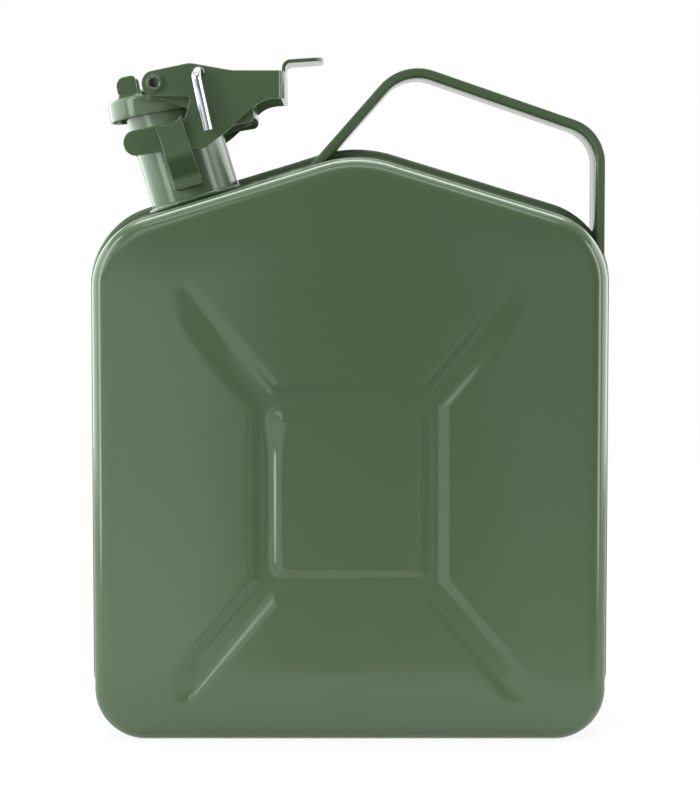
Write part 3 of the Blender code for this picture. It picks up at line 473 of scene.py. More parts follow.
def wall_step(share):
    """A step that is steep only in its middle and has long soft feet."""
    share = np.clip(share, 0, 1)
    half = 0.5 * (2 * np.minimum(share, 1 - share)) ** WALL_POWER
    return np.where(share < 0.5, half, 1 - half)


def arm_fade(points):
    """The arms run out into the face: a long way above, a short way below."""
    reach = np.abs(points[:, 0] - PANEL[0])
    above = soft_step((ARM_END - reach) / (32 * MM))
    above *= 1 - 0.3 * soft_step((points[:, 1] - PANEL[1] - 42 * MM) / (30 * MM))
    below = soft_step((ARM_END - reach) / (14 * MM))
    return np.where(points[:, 1] > PANEL[1], above, below)


def pressing(points):
    """(distance to the nearest edge of the channel, depth) for each point."""
    outside = distance_to(points, CROSS)
    within = -distance_to(points, SQUARE)
    low = soft_step((PANEL[1] - points[:, 1]) / (60 * MM))
    right = soft_step(0.5 + (points[:, 0] - PANEL[0]) / (60 * MM))
    high = soft_step((points[:, 1] - PANEL[1] - 15 * MM) / (21 * MM))
    left = 1 - right
    outer = OUTER_RIGHT * right + (OUTER_LEFT - OUTER_LOW * low - OUTER_HIGH * high) * left
    inner = INNER_RIGHT * right + (INNER_LEFT + INNER_HIGH * high) * left
    depth = wall_step(0.5 - outside / outer) * wall_step(0.5 - within / inner)
    depth *= DIP * (1 - LESS_ON_RIGHT * right)
    return np.minimum(np.abs(outside), np.abs(within)), depth * arm_fade(points)


MIDDLE = np.array([[PANEL[0] + 39.5 * MM, PANEL[1]]])
print("depth in the middle of the channel, in mm:",
      round(float(pressing(MIDDLE)[1][0]) / MM, 2))
# %% The face of a tray
CROWN_REACH = 46 * MM
# pitch of each grid, and the distances from the channel's edge that it fills
GRIDS = ((5.5 * MM, 9 * MM, 1.0), (1.8 * MM, 4 * MM, 9 * MM), (0.8 * MM, 0.0, 4 * MM))


def crown(points, edge):
    """How far the face falls back near its rim."""
    share = np.clip(-distance_to(points, edge) / CROWN_REACH, 0, 1)
    return FACE_CROWN * (1 - share) ** 2


def face_points(edge):
    """Places for the face's corners, close together near the pressing."""
    low, high = edge.min(0), edge.max(0)
    spots = []
    for pitch, near, far in GRIDS:
        xs = np.arange(low[0], high[0], pitch)
        zs = np.arange(low[1], high[1], pitch)
        grid = np.array(np.meshgrid(xs, zs)).reshape(2, -1).T
        grid[:, 0] += (np.round(grid[:, 1] / pitch) % 2) * pitch / 2
        grid = grid[distance_to(grid, edge) < -pitch * 0.6]
        gap = pressing(grid)[0]
        spots.append(grid[(gap >= near) & (gap < far)])
    return np.vstack(spots)


def face_mesh_data(edge):
    """(points, depths, triangles) of the face inside an edge."""
    edge = np.array(edge)
    points = np.vstack([edge, face_points(edge)])
    loop = [(i, (i + 1) % len(edge)) for i in range(len(edge))]
    made = delaunay_2d_cdt([Vector(p) for p in points], loop, [], 1, 1e-7)
    spots = np.array([tuple(p) for p in made[0]])
    depth = pressing(spots)[1] + crown(spots, edge)
    return spots, depth, made[2]


print("grid points on a face:", len(face_points(np.array(can_outline(-RIM, RIM)))))
# %% [markdown]
# ## One tray, from seam to face
# The rings below run from the tip of the flange, down its face, round the small
# fold, along the wall and round the rim. The last ring is the edge of the face.
# A second skin inside gives the sheet its thickness, so that the can is hollow
# when one looks down the open neck.
# %% Build a tray
SOLE_STRIP = 12 * MM
WALL_END = HALF_DEPTH - RIM


def draft_at(depth):
    """How far the wall stands out at a depth; it leans in towards the face."""
    return DRAFT - DRAFT * depth / WALL_END


def tray_rings():
    """(depth, growth, sole height) of each ring, from the seam outward."""
    half_gap = GAP / 2
    tip = half_gap + SHEET
    fold = 0.8 * MM
    rings = [(half_gap, DRAFT + SEAM - 0.2 * MM, GAP)]
    for a in np.linspace(0, QUARTER, 7):
        rings.append((half_gap + 0.15 * MM + (SHEET - 0.15 * MM) * math.sin(a),
                      DRAFT + SEAM - 1.9 * MM * (1 - math.cos(a)),
                      GAP - 0.1 * MM * math.cos(a)))
    for a in np.linspace(0, QUARTER, 5):
        rings.append((tip + fold * (1 - math.cos(a)),
                      DRAFT + fold * (1 - math.sin(a)),
                      0.8 * MM - 0.4 * MM * (1 - math.sin(a))))
    rings.append((SOLE_STRIP / 2, draft_at(SOLE_STRIP / 2), 0.4 * MM))
    rings.append((SOLE_STRIP, draft_at(SOLE_STRIP), 0))
    rings.append((WALL_END * 0.6, draft_at(WALL_END * 0.6), 0))
    for a in np.linspace(0, QUARTER, 13):
        turn = 1 - math.cos(a)
        rings.append((WALL_END + (RIM - FACE_CROWN) * math.sin(a), -RIM * turn,
                      RIM * turn))
    return rings


def tray_mesh(name, side):
    work = bmesh.new()
    inner = [(GAP / 2, DRAFT - SHEET, 1.8 * MM), (HALF_DEPTH - 8 * MM, -2.6 * MM, SHEET),
             (HALF_DEPTH - 5 * MM, -5 * MM, 5 * MM)]
    rings = [(d, can_outline(g, s, 2)) for d, g, s in tray_rings()]
    hollow = [(d, can_outline(g, s, 2)) for d, g, s in reversed(inner)]
    layers = [[work.verts.new((x, side * d, z)) for x, z in ring]
              for d, ring in hollow + rings]
    count = len(layers[0])
    skin(work, layers)
    work.faces.new(layers[0])
    spots, depth, triangles = face_mesh_data(rings[-1][1])
    edge = layers[-1]
    corners = edge + [work.verts.new((x, side * (HALF_DEPTH - d), z))
                      for (x, z), d in zip(spots[count:], depth[count:])]
    for triangle in triangles:
        work.faces.new([corners[i] for i in triangle])
    return mesh_from(work, name, DRAWN_EDGE)


print("rings on a tray:", len(tray_rings()))
# %% Build both trays
NECK_X = -74.2 * MM
NECK_TILT = 16.7
NECK_RADIUS = 21.5 * MM
NECK_FOOT = PEAK[1] - (PEAK[0] - NECK_X) * math.tan(SLOPE) + DRAFT - GAP
NECK_PLACE = (Matrix.Translation((NECK_X, 0, NECK_FOOT))
              @ Matrix.Rotation(-math.radians(NECK_TILT), 4, "Y"))


def evaluated(item):
    """The mesh of an object, with its modifiers or its bevel applied."""
    bpy.context.view_layer.update()
    depsgraph = bpy.context.evaluated_depsgraph_get()
    return bpy.data.meshes.new_from_object(item.evaluated_get(depsgraph))


def cut_by(piece, tool):
    """The piece's mesh with the tool's body cut out of it."""
    modifier = piece.modifiers.new("cut", "BOOLEAN")
    modifier.object = tool
    modifier.operation = "DIFFERENCE"
    modifier.solver = "EXACT"
    mesh = evaluated(piece)
    piece.modifiers.clear()
    piece.data = mesh
    shade(mesh, DRAWN_EDGE)


def temporary(name, mesh, place=None):
    tool = new_object(name, mesh)
    if place is not None:
        tool.matrix_world = place
    return tool


def build_trays():
    hole = [(0.01, 12), (21.8, 12), (21.8, -20), (0.01, -20)]
    hole = turned("neck_hole", mm_points(hole), 72)
    tool = temporary("neck_hole", hole, NECK_PLACE)
    for label, side in (("front", -1), ("rear", 1)):
        name = label + "_tray"
        cut_by(add_piece(name, tray_mesh(name, side), "can", OLIVE, [label + "_shell"]),
               tool)
    bpy.data.objects.remove(tool)


build_trays()
# %% [markdown]
# ## The strip handle
# The handle is a steel strip with both edges turned up, which makes it stiff
# and comfortable. It is bent into a gable, and both feet are welded to the
# seam. A loft follows the bend: each point of the cross-section has its own
# line at its own distance inward.
# %% Build the handle
HANDLE_CORNERS = [(-21.3, 269.1), (25.1, 321.6), (122.5, 288.0), (122.5, 228.5)]
HANDLE_RADII = [0, 24, 22, 0]


def handle_line(inward):
    """Side view of the handle, at a distance inward of its outer edge."""
    corners = [Vector(p) * MM for p in HANDLE_CORNERS]
    runs = [(b - a).normalized() for a, b in zip(corners, corners[1:])]
    sides = [Vector((run.y, -run.x)) for run in runs]
    points = [corners[0] + sides[0] * inward]
    for corner, before, after in zip(corners[1:], sides, sides[1:]):
        middle = (before + after).normalized()
        points.append(corner + middle * (inward / middle.dot(before)))
    points.append(corners[-1] + sides[-1] * inward)
    radii = [max(radius * MM - inward, 0) for radius in HANDLE_RADII]
    return rounded([tuple(p) for p in points], radii, 14, closed=False)


def strip_section():
    """The strip across: a flat web with its edges turned towards the outside."""
    half, deep, sheet = 13.5 * MM, 4.8 * MM, 1.5 * MM
    inside, floor = half - sheet, deep - sheet
    corners = [(half, 0), (half, deep), (-half, deep), (-half, 0), (-inside, 0),
               (-inside, floor), (inside, floor), (inside, 0)]
    radii = [0.6, 2.2, 2.2, 0.6, 0.6, 0.9, 0.9, 0.6]
    return rounded(corners, mm_all(radii), 4)


def build_handle():
    section = strip_section()
    lines = [[(x, y, z) for x, z in handle_line(inward)] for y, inward in section]
    mesh = loft("handle_strip", [list(ring) for ring in zip(*lines)])
    piece = add_piece("handle_strip", mesh, "can", SATIN, ["handle"])
    outline = can_outline(DRAFT - 0.1 * MM, 0, 2)
    body = loft("handle_trim", [[(x, side * 30 * MM, z) for x, z in outline]
                                for side in (-1, 1)])
    tool = temporary("handle_trim", body)
    cut_by(piece, tool)
    bpy.data.objects.remove(tool)


build_handle()
# %% [markdown]
# ## The neck
# The neck is a tube with its mouth rolled outward, so that the rubber pad has
# a smooth ring to press on. It stands square to the slope, but its mouth is cut
# a little flatter, and the lid follows the mouth.
# %% Build the neck and its weld
NECK_LENGTH = 47.9 * MM
LID_TILT = 10
MOUTH_TILT = math.radians(LID_TILT - NECK_TILT)
LID_PLACE = (NECK_PLACE @ Matrix.Translation((0, 0, NECK_LENGTH))
             @ Matrix.Rotation(-MOUTH_TILT, 4, "Y"))


def neck_mesh():
    wall, lip = 1.2 * MM, 1.25 * MM
    middle = NECK_RADIUS - wall / 2
    profile = [(NECK_RADIUS - wall, -7 * MM, 0), (NECK_RADIUS, -7 * MM, 0)]
    profile += [(NECK_RADIUS, z * MM, 0) for z in (0, 20, 38)]
    for r, z in arc((middle, 0), lip, -QUARTER * 0.55, QUARTER * 2.55, 18):
        profile.append((r, z, 1))
    profile += [(NECK_RADIUS - wall, z * MM, 0) for z in (38, 0)]
    rings = []
    for a in np.linspace(0, TURN, 96, endpoint=False):
        ring = []
        for r, z, on_mouth in profile:
            spot = Vector((r * math.cos(a), r * math.sin(a), z))
            if on_mouth:
                spot.z += NECK_LENGTH + spot.x * math.tan(MOUTH_TILT)
            ring.append(spot)
        rings.append(ring)
    return loft("neck_with_lip", rings, wrap=True)


def bead_mesh(name, spine, radius, seed, flat=0.75, closed=True):
    """A hand-laid weld bead along a line of (point, outward, up)."""
    rings = []
    for index, (spot, out, up) in enumerate(spine):
        swell = 1 + 0.22 * noise.noise(Vector((index * 0.31, seed, 0)))
        ripple = 1 + 0.08 * math.sin(index * 1.9)
        ring = []
        for a in np.linspace(0, TURN, 10, endpoint=False):
            ring.append(spot + out * math.cos(a) * radius * swell * ripple
                        + up * math.sin(a) * radius * flat * swell)
        rings.append(ring)
    return loft(name, rings, wrap=closed, angle=WELD_EDGE)


def neck_weld_mesh():
    spine = []
    for a in np.linspace(0, TURN, 110, endpoint=False):
        out = Vector((math.cos(a), math.sin(a), 0))
        spine.append((out * (NECK_RADIUS + 0.9 * MM) + Vector((0, 0, 0.7 * MM)), out,
                      Vector((0, 0, 1))))
    return bead_mesh("neck_bead", spine, 1.8 * MM, 3.0)


add_piece("neck_with_lip", neck_mesh(), "can", SAGGED, ["neck_tube"], NECK_PLACE)
add_piece("neck_bead", neck_weld_mesh(), "can", WELDED, ["neck_weld"], NECK_PLACE)
# %% [markdown]
# ## Folding flat sheet
# Lever, yoke and straps are cut flat and then bent. Doing the same here is the
# easiest way to keep their thickness and their round edges right. The outline
# is filled as a flat plate with rounded edges, sliced where the bends will be,
# and then each point is carried from its distance along the strip to its place
# on the bent line.
# %% Cut and fold a sheet
def flat_plate(name, outlines, thickness, edge=0.35 * MM):
    """A flat plate in X and Y, with holes and rounded edges."""
    curve = bpy.data.curves.new(name, "CURVE")
    curve.dimensions = "2D"
    curve.fill_mode = "BOTH"
    curve.bevel_depth = edge
    curve.bevel_resolution = 2
    curve.offset = -edge
    curve.extrude = thickness / 2 - edge
    for outline in outlines:
        spline = curve.splines.new("POLY")
        spline.points.add(len(outline) - 1)
        for point, place in zip(spline.points, outline):
            point.co = (place[0], place[1], 0, 1)
        spline.use_cyclic_u = True
    holder = temporary(name, curve)
    work = bmesh.new()
    work.from_mesh(evaluated(holder))
    bpy.data.objects.remove(holder)
    bmesh.ops.remove_doubles(work, verts=work.verts, dist=0.002 * MM)
    return work


def remap(work, move):
    """Carry every corner of a plate to a new place."""
    for vert in work.verts:
        vert.co = move(*vert.co)
    return work


def bent_line(corners, radii, steps=10):
    """Stations along a bent line: (distance, point, sideways step)."""
    line = [Vector(p) for p in rounded(corners, radii, steps, closed=False)]
    stations = []
    travelled = 0.0
    for index, point in enumerate(line):
        if index:
            travelled += (point - line[index - 1]).length
        before = point - line[max(index - 1, 0)]
        after = line[min(index + 1, len(line) - 1)] - point
        before = before.normalized() if before.length else after.normalized()
        after = after.normalized() if after.length else before
        middle = (before + after).normalized()
        side = Vector((middle.y, -middle.x)) / max(middle.dot(before), 0.5)
        stations.append((travelled, point, side))
    return stations


def fold(work, stations):
    """Carry a flat plate onto a bent line, its thickness to the sides."""
    for distance, _, _ in stations[1:-1]:
        bmesh.ops.bisect_plane(work, geom=work.verts[:] + work.edges[:] + work.faces[:],
                               plane_co=(distance, 0, 0), plane_no=(1, 0, 0),
                               dist=0.001 * MM)
    reach = [station[0] for station in stations]
    for vert in work.verts:
        index = int(np.clip(np.searchsorted(reach, vert.co.x) - 1, 0, len(reach) - 2))
        share = (vert.co.x - reach[index]) / (reach[index + 1] - reach[index])
        point = stations[index][1].lerp(stations[index + 1][1], share)
        side = stations[index][2].lerp(stations[index + 1][2], share)
        spot = point + side * vert.co.z
        vert.co = (spot.x, spot.y, vert.co.y)
    return work


def circle(centre, radius, steps=28):
    return arc(centre, radius, 0, TURN * (steps - 1) / steps, steps - 1)


def keep_flat(piece):
    """Flat sheet looks flat right up to its rounded edges."""
    modifier = piece.modifiers.new("flat_sheet", "WEIGHTED_NORMAL")
    modifier.mode = "FACE_AREA"
    modifier.keep_sharp = True


print("a 10 mm hole has", len(circle((0, 0), 5 * MM)), "sides")
# %% [markdown]
# ## The yoke
# A strip is bent round the neck and welded to it. Its rounded ends point to the
# front, and its rear corner carries the hinge pin of the lid.
# %% Build the yoke
HINGE_REACH = HINGE_RISE = 33 * MM
YOKE_EDGE_RADII = (5.9, 20, 20, 20, 20, 20, 20, 5.9, 5.9, 20, 20, 5.9)


def build_yoke():
    front, rear, side = -24.5 * MM, 39 * MM, 22.55 * MM
    stations = bent_line([(front, -side), (rear, -side), (rear, side), (front, side)],
                         [0, 5.25 * MM, 5.25 * MM, 0])
    length = stations[-1][0]
    near_edge = mm_points([(0, 28.2), (20, 26.2), (38, 26.6), (58, 30)])
    far_edge = [(length - s, z) for s, z in reversed(near_edge)]
    near_top = mm_points([(20, 38.5), (0, 40.4)])
    top_edge = [(length - s, z) for s, z in reversed(near_top)] + near_top
    outline = rounded(near_edge + far_edge + top_edge, mm_all(YOKE_EDGE_RADII), 12)
    hole = HINGE_REACH - front
    holes = [circle((x, HINGE_RISE), 2.3 * MM) for x in (hole, length - hole)]
    work = fold(flat_plate("neck_bracket", [outline] + holes, 1.5 * MM), stations)
    keep_flat(add_piece("neck_bracket", mesh_from(work, "neck_bracket"), "can", SATIN,
                        ["neck_yoke"], NECK_PLACE))


build_yoke()
# %% [markdown]
# ## The catch straps
# Each strap is welded flat to the neck, then cranks outward so that the lever's
# hook can pass behind it. Its upper edge is dished, to leave the hook's lobe
# more room. A small hand-laid bead holds its foot.
# %% Build the straps
def build_straps():
    low, out = 22.7 * MM, 30.4 * MM
    for label, side in (("near", -1), ("far", 1)):
        stations = bent_line([(side * low, 7.3 * MM), (side * low, 12.5 * MM),
                              (side * out, 21.5 * MM), (side * out, 39.5 * MM)],
                             mm_all((0, 5, 5, 0)))
        length = stations[-1][0]
        front, rear = -6.7 * MM, 6.3 * MM
        middle = (front + rear) / 2
        dish = arc((length + 5.6 * MM, middle), 8.3 * MM, math.radians(228),
                   math.radians(132), 12)
        end = length - 0.1 * MM
        outline = [(0, front), (end, front)] + dish + [(end, rear), (0, rear)]
        work = flat_plate("strap_" + label, [outline], 1.8 * MM, 0.45 * MM)
        remap(fold(work, stations), lambda y, z, x: (x, y, z))
        keep_flat(add_piece("strap_" + label, mesh_from(work, "strap_" + label), "can",
                            SATIN, ["catch_strap_" + label], NECK_PLACE))
        spine = []
        foot = side * (low + 1.0 * MM)
        line = [(front - 0.2 * MM, z * MM) for z in (14, 12.5, 11, 9.5, 8.2, 7.3)]
        line += [(x * MM, 6.9 * MM) for x in np.arange(-6.3, 6.4, 0.9)]
        for x, z in line:
            spine.append((Vector((x, foot - side * 0.9 * MM, z)), Vector((0, side, 0)),
                          Vector((0, 0, 1)) if x > front else Vector((-1, 0, 0))))
        bead = bead_mesh("strap_bead", spine, 0.95 * MM, side * 7.0, 0.8, False)
        add_piece("strap_bead_" + label, bead, "can", WELDED, place=NECK_PLACE)


build_straps()
# %% [markdown]
# ## The lid
# The lid is pressed in one stroke: a long round cup with a soft top edge.
# %% Build the lid
LID_RADIUS = 23.5 * MM
LID_FRONT, LID_REAR = -5.4 * MM, 2.3 * MM


def lid_ring(height, inset):
    radius = LID_RADIUS - inset
    ring = arc((LID_REAR, 0), radius, -QUARTER, QUARTER, 30)
    ring += arc((LID_FRONT, 0), radius, QUARTER, QUARTER + math.pi, 30)
    return [(x, y, height) for x, y in ring]


def build_lid():
    top, sheet, edge, skirt = 6.3 * MM, 1.0 * MM, 1.7 * MM, -3.9 * MM
    rings = [lid_ring(top - sheet, edge + 1 * MM)]
    for a in np.linspace(QUARTER, 0, 6):
        rings.append(lid_ring(top - edge + (edge - sheet) * math.sin(a),
                              sheet + (edge - sheet) * (1 - math.cos(a))))
    for a in np.linspace(math.pi, TURN, 7):
        rings.append(lid_ring(skirt + sheet / 2 + sheet / 2 * math.sin(a),
                              sheet / 2 - sheet / 2 * math.cos(a)))
    for a in np.linspace(0, QUARTER, 9):
        rings.append(lid_ring(top - edge * (1 - math.sin(a)), edge * (1 - math.cos(a))))
    add_piece("lid_cup", loft("lid_cup", rings), "lid", SATIN, ["lid"], LID_PLACE)


build_lid()
# %% [markdown]
# ## The bridge over the lid
# The bridge carries the lid and joins it to the hinge behind the neck. Its nose
# is turned up on both sides, so that a thumb can push it.
# %% Build the bridge
HINGE = LID_PLACE.inverted() @ NECK_PLACE @ Vector((HINGE_REACH, 0, HINGE_RISE))
RIVET = (-2.6 * MM, 9.3 * MM)


def side_plate(name, outlines, thickness, y):
    """A plate that stands in the X and Z plane, at a distance along Y."""
    return remap(flat_plate(name, outlines, thickness), lambda x, z, t: (x, y - t, z))


def join(works, name):
    """Several meshes as one."""
    whole = bmesh.new()
    for work in works:
        part = mesh_from(work, name)
        whole.from_mesh(part)
        bpy.data.meshes.remove(part)
    return mesh_from(whole, name)


def build_bridge():
    sheet, low = 1.5 * MM, 6.6 * MM
    far = [(10, 26.5), (-9, 26.5), (-12.5, 9.5), (-22.5, 9.5)]
    plan = mm_points(far + [(x, -y) for x, y in reversed(far)])
    plan = rounded(plan[-1:] + plan[:-1], mm_all((0.5, 0.5, 1.5, 3, 1, 1, 3, 1.5)))
    works = [remap(flat_plate("bridge", [plan], sheet),
                   lambda x, y, z: (x, y, z + (low + sheet / 2)))]
    drop = math.atan2(HINGE.z - RIVET[1], HINGE.x - RIVET[0])
    ear = arc(RIVET, 6 * MM, drop + QUARTER, drop + QUARTER + math.pi, 16)
    below = math.radians(-12)
    knuckle = [(HINGE.x + r * MM * math.cos(below + QUARTER * share),
                HINGE.z + r * MM * math.sin(below + QUARTER * share))
               for r, share in ((6.5, -1.25), (8.2, -0.33), (8.6, 0.55))]
    knuckle = rounded([ear[-1]] + knuckle + [ear[0]], mm_all((0, 3, 3, 2, 0)), 8,
                      closed=False)[1:-1]
    top = low + 10.2 * MM
    wing = rounded([(-22.4 * MM, low + 0.4 * MM), (-12.5 * MM, low + 0.4 * MM),
                    (-12.9 * MM, top), (-22.4 * MM, top)], mm_all((3.2, 0.4, 1.8, 4.5)))
    for side in (-1, 1):
        works.append(side_plate("cheek", [ear + knuckle, circle(RIVET, 3.2 * MM),
                                          circle((HINGE.x, HINGE.z), 2.2 * MM)],
                                sheet, side * 25.85 * MM))
        works.append(side_plate("wing", [wing], sheet, side * 8.6 * MM))
    keep_flat(add_piece("bridge", join(works, "bridge"), "lid", SATIN, ["lid_bridge"],
                        LID_PLACE))


build_bridge()
# %% [markdown]
# ## The lever
# The lever is one blank, bent twice to a U. Each side has a rounded front, a
# hump for the locking pin and a lobe whose hook catches under a pin beside the
# neck. The blank below is drawn flat: near side, rear web, far side.
# %% Outline of the lever's side
RIVET_PLACE = LID_PLACE @ Matrix.Translation((RIVET[0], 0, RIVET[1]))
LEVER_PLACE = RIVET_PLACE @ Matrix.Rotation(math.radians(LID_TILT), 4, "Y")
CATCH = LEVER_PLACE.inverted() @ NECK_PLACE @ Vector((0, 0, 30 * MM))
PIN_HOLE = (20.9, 5.5)


def lever_edges():
    """(upper edge from front to rear, lower edge from rear to front)."""
    front = arc((0, 0), 6.2 * MM, math.radians(255), math.radians(112), 20)
    crest = rounded([front[-1]] + mm_points([(16.5, 9.7), (36.4, 6.2), (56.4, 6.2)]),
                    [0, 10 * MM, 20 * MM, 0], 10, closed=False)
    slope = math.radians(62)
    seat = 2.8 * MM
    hook = arc((CATCH.x, CATCH.z), seat, slope - QUARTER, math.radians(25), 10)
    toe = hook[0][0] - (hook[0][1] + 30.9 * MM) / math.tan(slope)
    under = mm_points([(56.4, -6.9), (50.5, -7.8), (33.4, -22.9), (23.2, -30.4)])
    under = rounded(under + [(toe, -32.6 * MM), (toe, -30.9 * MM), hook[0]],
                    mm_all((0, 14, 4, 8, 0.6, 0.6, 0)), 8, closed=False)
    throat = rounded([hook[-1], (16.9 * MM, -6.4 * MM), (-1.5 * MM, front[0][1])],
                     [0, 1.5 * MM, 0], 6, closed=False)
    return front + crest[1:], under + hook[1:] + throat[1:]


UPPER, LOWER = lever_edges()
print("points on a lever side:", len(UPPER) + len(LOWER))
# %% Fold the lever and its thumb tab
def build_lever():
    side, rear, start = 27.9 * MM, 60.4 * MM, -6.2 * MM
    stations = bent_line([(start, -side), (rear, -side), (rear, side), (start, side)],
                         [0, 4 * MM, 4 * MM, 0])
    length = stations[-1][0]
    near_top = [(x - start, z) for x, z in UPPER]
    near_low = [(x - start, z) for x, z in LOWER]
    far_top = [(length - x, z) for x, z in reversed(near_top)]
    far_low = [(length - x, z) for x, z in reversed(near_low)]
    outline = near_top + far_top + far_low + near_low
    holes = []
    for x, z, r in ((0, 0, 3.2), (*PIN_HOLE, 2.45)):
        hole = circle((x * MM - start, z * MM), r * MM)
        holes += [hole, [(length - a, b) for a, b in hole]]
    blank = fold(flat_plate("lever_blank", [outline] + holes, 2 * MM, 0.4 * MM), stations)
    tab_line = mm_points([(60.4, 5.0), (60.4, 11.6), (79.2, 12.85)])
    tab_line = bent_line(tab_line, [0, 3.4 * MM, 0])
    reach = tab_line[-1][0]
    half, corner = 14 * MM, 5 * MM
    tab = flat_plate("tab", [rounded([(0, -half), (reach, -half), (reach, half), (0, half)],
                                     [0, corner, corner, 0])], 1.8 * MM, 0.4 * MM)
    remap(fold(tab, tab_line), lambda x, z, y: (x, y, z))
    keep_flat(add_piece("cam_lever", join([blank, tab], "cam_lever"), "lever", SATIN,
                        ["lever"], LEVER_PLACE))


build_lever()
# %% [markdown]
# ## Rivets, washers and the locking pin
# Lever and bridge are joined by two hollow rivets whose ends are rolled over
# washers. The locking pin is plated wire, bent once. It hangs by friction, so
# it stays a little off plumb.
# %% Build the rivets
def build_rivets():
    flare = arc((3.0 * MM, 30.55 * MM), 0.45 * MM, -QUARTER * 0.9, QUARTER * 2.2, 10)
    profile = mm_points([(2.9, 25), (2.9, 30.1)]) + flare
    profile += mm_points([(2.1, 30.2), (2.1, 26.6), (0.01, 26.1), (0.01, 24.2),
                          (3.3, 24.2), (3.6, 24.5)])
    ring = rounded(mm_points([(3.3, 29.2), (4.3, 29.2), (4.3, 30.0), (3.3, 30.0)]),
                   mm_all((0.05, 0.1, 0.3, 0.15)), 4)
    for label, side in (("near", -1), ("far", 1)):
        spot = along_y(RIVET_PLACE, side)
        add_piece("hollow_rivet_" + label, turned("rivet", profile), "lid", SATIN,
                  ["lever_rivet_" + label], spot)
        add_piece("washer_" + label, turned("washer", ring), "lid", SATIN,
                  ["rivet_washer_" + label], spot)


build_rivets()
# %% Build the locking pin
PIN_RADIUS = 2.5 * MM
PIN_LEAN = math.radians(12.6)
LEG_SHIFT = -1.6 * MM


def build_pin():
    bend, near, far, leg = 3.6 * MM, 29.2 * MM, 31.2 * MM, 28.5 * MM
    line = rounded([(far, 0), (-near - bend, 0), (-near - bend, -leg)], [0, bend, 0], 12,
                   closed=False)
    lean = Matrix.Rotation(-PIN_LEAN, 4, "Y")
    out = [min(max((-28.9 * MM - y) / (3.9 * MM), 0), 1) for y, z in line]
    points = [lean @ Vector((LEG_SHIFT * share, y, z)) for share, (y, z) in zip(out, line)]
    widths = [0.92 + 0.08 * share for share in out]
    steps = [(0.0, 0.75), (0.25 * MM, 0.9), (0.7 * MM, 1.0)]
    rings = []
    across = lean @ Vector((1, 0, 0))
    first = (points[1] - points[0]).normalized()
    last = (points[-1] - points[-2]).normalized()
    spine = [(points[0] + first * d, first, s * widths[0]) for d, s in steps]
    for before, here, after, width in zip(points, points[1:], points[2:], widths[1:]):
        spine.append((here, (after - before).normalized(), width))
    spine += [(points[-1] - last * d, last, s) for d, s in reversed(steps)]
    for spot, run, scale in spine:
        other = across.cross(run).normalized()
        rings.append([spot + (across * math.cos(a) + other * math.sin(a))
                      * PIN_RADIUS * scale
                      for a in np.linspace(0, TURN, 32, endpoint=False)])
    place = LEVER_PLACE @ Matrix.Translation((PIN_HOLE[0] * MM, 0, PIN_HOLE[1] * MM))
    add_piece("bent_pin", loft("bent_pin", rings, angle=DRAWN_EDGE), "locking_pin", ZINC,
              ["locking_pin"], place)


build_pin()
# %% [markdown]
# ## Inner pieces
# The pins, spacers, rubber pad and air tube are simple turned or flat pieces.
# Their measured solids are right as they are, and get their finishes here.
# %% Finish the inner pieces
INNER_PIECES = {"catch_pin_near": STEEL, "catch_pin_far": STEEL, "hinge_pin": STEEL,
                "hinge_spacer_near": STEEL, "hinge_spacer_far": STEEL,
                "lid_rivet": STEEL, "pin_retainer": STEEL, "gasket_retainer": ZINC,
                "breather_tube": ZINC, "lid_gasket": RUBBER}
for node_name, finish in INNER_PIECES.items():
    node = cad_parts[node_name]
    node.data.materials.clear()
    node.data.materials.append(finish)
    shade(node.data, PRESSED_EDGE)
    print(node_name, "->", finish.name)
# %% [markdown]
# ## Studio
# The can stands on a plain pale floor. The paint is a dark mirror, so most of
# the light is there to be reflected. At each side a tall strip draws the pale
# line along the rim and a broad wall fills the side. Weaker cards in front give
# the face its slow change of brightness, and a strip and a soft box light the
# top. The floor shows white, and still keeps the can's shadow.
# %% Floor
PAPER_WHITE = 0.87
TABLE_HALF, TABLE_FRONT, TABLE_REAR = 1.2, -0.185, 1.3


def stage_finish():
    """Pale paper that shows white to the camera and in reflections."""
    finish = bpy.data.materials.new("studio_paper")
    finish.use_nodes = True
    tree = finish.node_tree
    tree.nodes.clear()
    rays = add_node(tree, "LightPath")
    seen = add_node(tree, "Math", operation="MAXIMUM")
    share = add_node(tree, "Math", operation="MULTIPLY")
    share.inputs[1].default_value = PAPER_WHITE
    paper = set_values(add_node(tree, "BsdfDiffuse"), Color=(0.9, 0.9, 0.9, 1))
    glow = set_values(add_node(tree, "Emission"), Strength=1.0)
    blend = add_node(tree, "MixShader")
    out = add_node(tree, "OutputMaterial")
    link(tree, (rays.outputs["Is Camera Ray"], seen.inputs[0]),
         (rays.outputs["Is Glossy Ray"], seen.inputs[1]),
         (seen.outputs[0], share.inputs[0]), (share.outputs[0], blend.inputs["Fac"]),
         (paper.outputs[0], blend.inputs[1]), (glow.outputs[0], blend.inputs[2]),
         (blend.outputs[0], out.inputs["Surface"]))
    return finish


def build_stage():
    """A table whose front edge lies a hand's width before the can."""
    work = bmesh.new()
    corners = [(-TABLE_HALF, TABLE_FRONT, 0), (TABLE_HALF, TABLE_FRONT, 0),
               (TABLE_HALF, TABLE_REAR, 0), (-TABLE_HALF, TABLE_REAR, 0)]
    work.faces.new([work.verts.new(corner) for corner in corners])
    floor = new_object("table", mesh_from(work, "table"))
    floor.data.materials.append(stage_finish())


build_stage()
# %% One light
LAMP_TINT = (0.92, 1.0, 0.97)


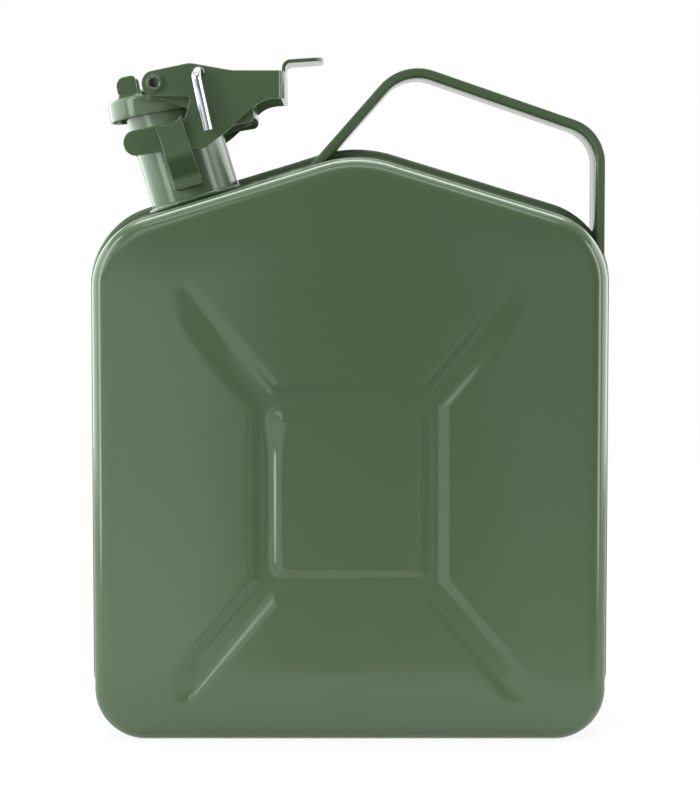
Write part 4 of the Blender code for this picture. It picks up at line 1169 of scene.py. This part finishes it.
def add_light(name, place, aim, width, height, glow):
    """A soft rectangle whose brightness is given, not its power."""
    lamp = bpy.data.lights.new(name, "AREA")
    lamp.shape = "RECTANGLE"
    lamp.color = LAMP_TINT
    lamp.size = width
    lamp.size_y = height
    lamp.energy = glow * width * height * 4
    light = new_object(name, lamp)
    light.location = place
    way = Vector(aim) - Vector(place)
    light.rotation_euler = way.to_track_quat("-Z", "Y").to_euler()
    light.visible_camera = False
    print(name, "power in watts:", round(lamp.energy, 1))


# %% The room
AMBIENT = 0.07
ROOM_FRONT, ROOM_REAR = 0.22, 1.0


def build_world():
    """White all round, but a darker room behind the camera."""
    world = bpy.data.worlds.new("studio")
    bpy.context.scene.world = world
    world.use_nodes = True
    tree = world.node_tree
    tree.nodes.clear()
    rays = add_node(tree, "LightPath")
    way = add_node(tree, "SeparateXYZ")
    spot = add_node(tree, "TexCoord").outputs["Generated"]
    room = ramp(tree, way.outputs["Y"], -0.55, 0.25, ROOM_FRONT, ROOM_REAR)
    level = add_node(tree, "Mix", data_type="FLOAT")
    level.inputs[2].default_value = AMBIENT
    whole = add_node(tree, "Math", operation="MAXIMUM")
    sky = set_values(add_node(tree, "Background"), Color=(1, 1, 1, 1))
    out = add_node(tree, "OutputWorld")
    link(tree, (spot, way.inputs[0]), (room, level.inputs[3]),
         (rays.outputs["Is Glossy Ray"], level.inputs["Factor"]),
         (level.outputs[0], whole.inputs[0]),
         (rays.outputs["Is Camera Ray"], whole.inputs[1]),
         (whole.outputs[0], sky.inputs["Strength"]),
         (sky.outputs[0], out.inputs["Surface"]))


build_world()
print("room brightness:", ROOM_FRONT, "to", ROOM_REAR)
# %% All lights
SIDE_REACH = 1.4
MID_CAN = (0, 0, 0.2)


def place_at(turn, reach, height):
    """A place round the can: degrees from the front, to the right if above 0."""
    turn = math.radians(turn)
    return (reach * math.sin(turn), -reach * math.cos(turn), height)


# name, place, aim, width, height, brightness
LIGHTS = (
    ("left_strip", place_at(-62, SIDE_REACH, 0.55), MID_CAN, 0.4, 1.4, 6.0),
    ("left_wall", place_at(-112, SIDE_REACH, 0.45), MID_CAN, 2.2, 1.2, 2.4),
    ("right_strip", place_at(57, SIDE_REACH, 0.4), MID_CAN, 0.35, 1.1, 5.0),
    ("right_wall", place_at(108, SIDE_REACH, 0.45), MID_CAN, 2.0, 1.2, 2.6),
    ("left_high", (-0.42, -1.15, 0.7), (-0.42, 0, 0.7), 0.26, 0.6, 2.0),
    ("left_slope", place_at(-44, 1.5, 0.66), (0, 0, 0.1), 0.66, 0.5, 1.7),
    ("front_high", (0, -0.8, 1.25), MID_CAN, 1.2, 0.3, 2.6),
    ("left_card", (-0.695, -1.15, -0.143), (-0.695, 0, -0.143), 1.16, 0.855, 0.9),
    ("right_card", (0.27, -1.15, -0.12), (0.27, 0, -0.12), 0.24, 0.9, 0.3),
    ("top_strip", (0, 0.12, 1.35), (0, 0, 0.25), 1.4, 0.3, 8.0),
    ("top_softbox", (0, 0.4, 2.0), (0, 0.35, 0), 2.6, 2.4, 0.9))
for light in LIGHTS:
    add_light(*light)
# %% [markdown]
# ## Look
# Colours are shown as they are, without a film curve.
# %% Finish
bpy.context.scene.view_settings.view_transform = "Standard"
bpy.context.view_layer.update()
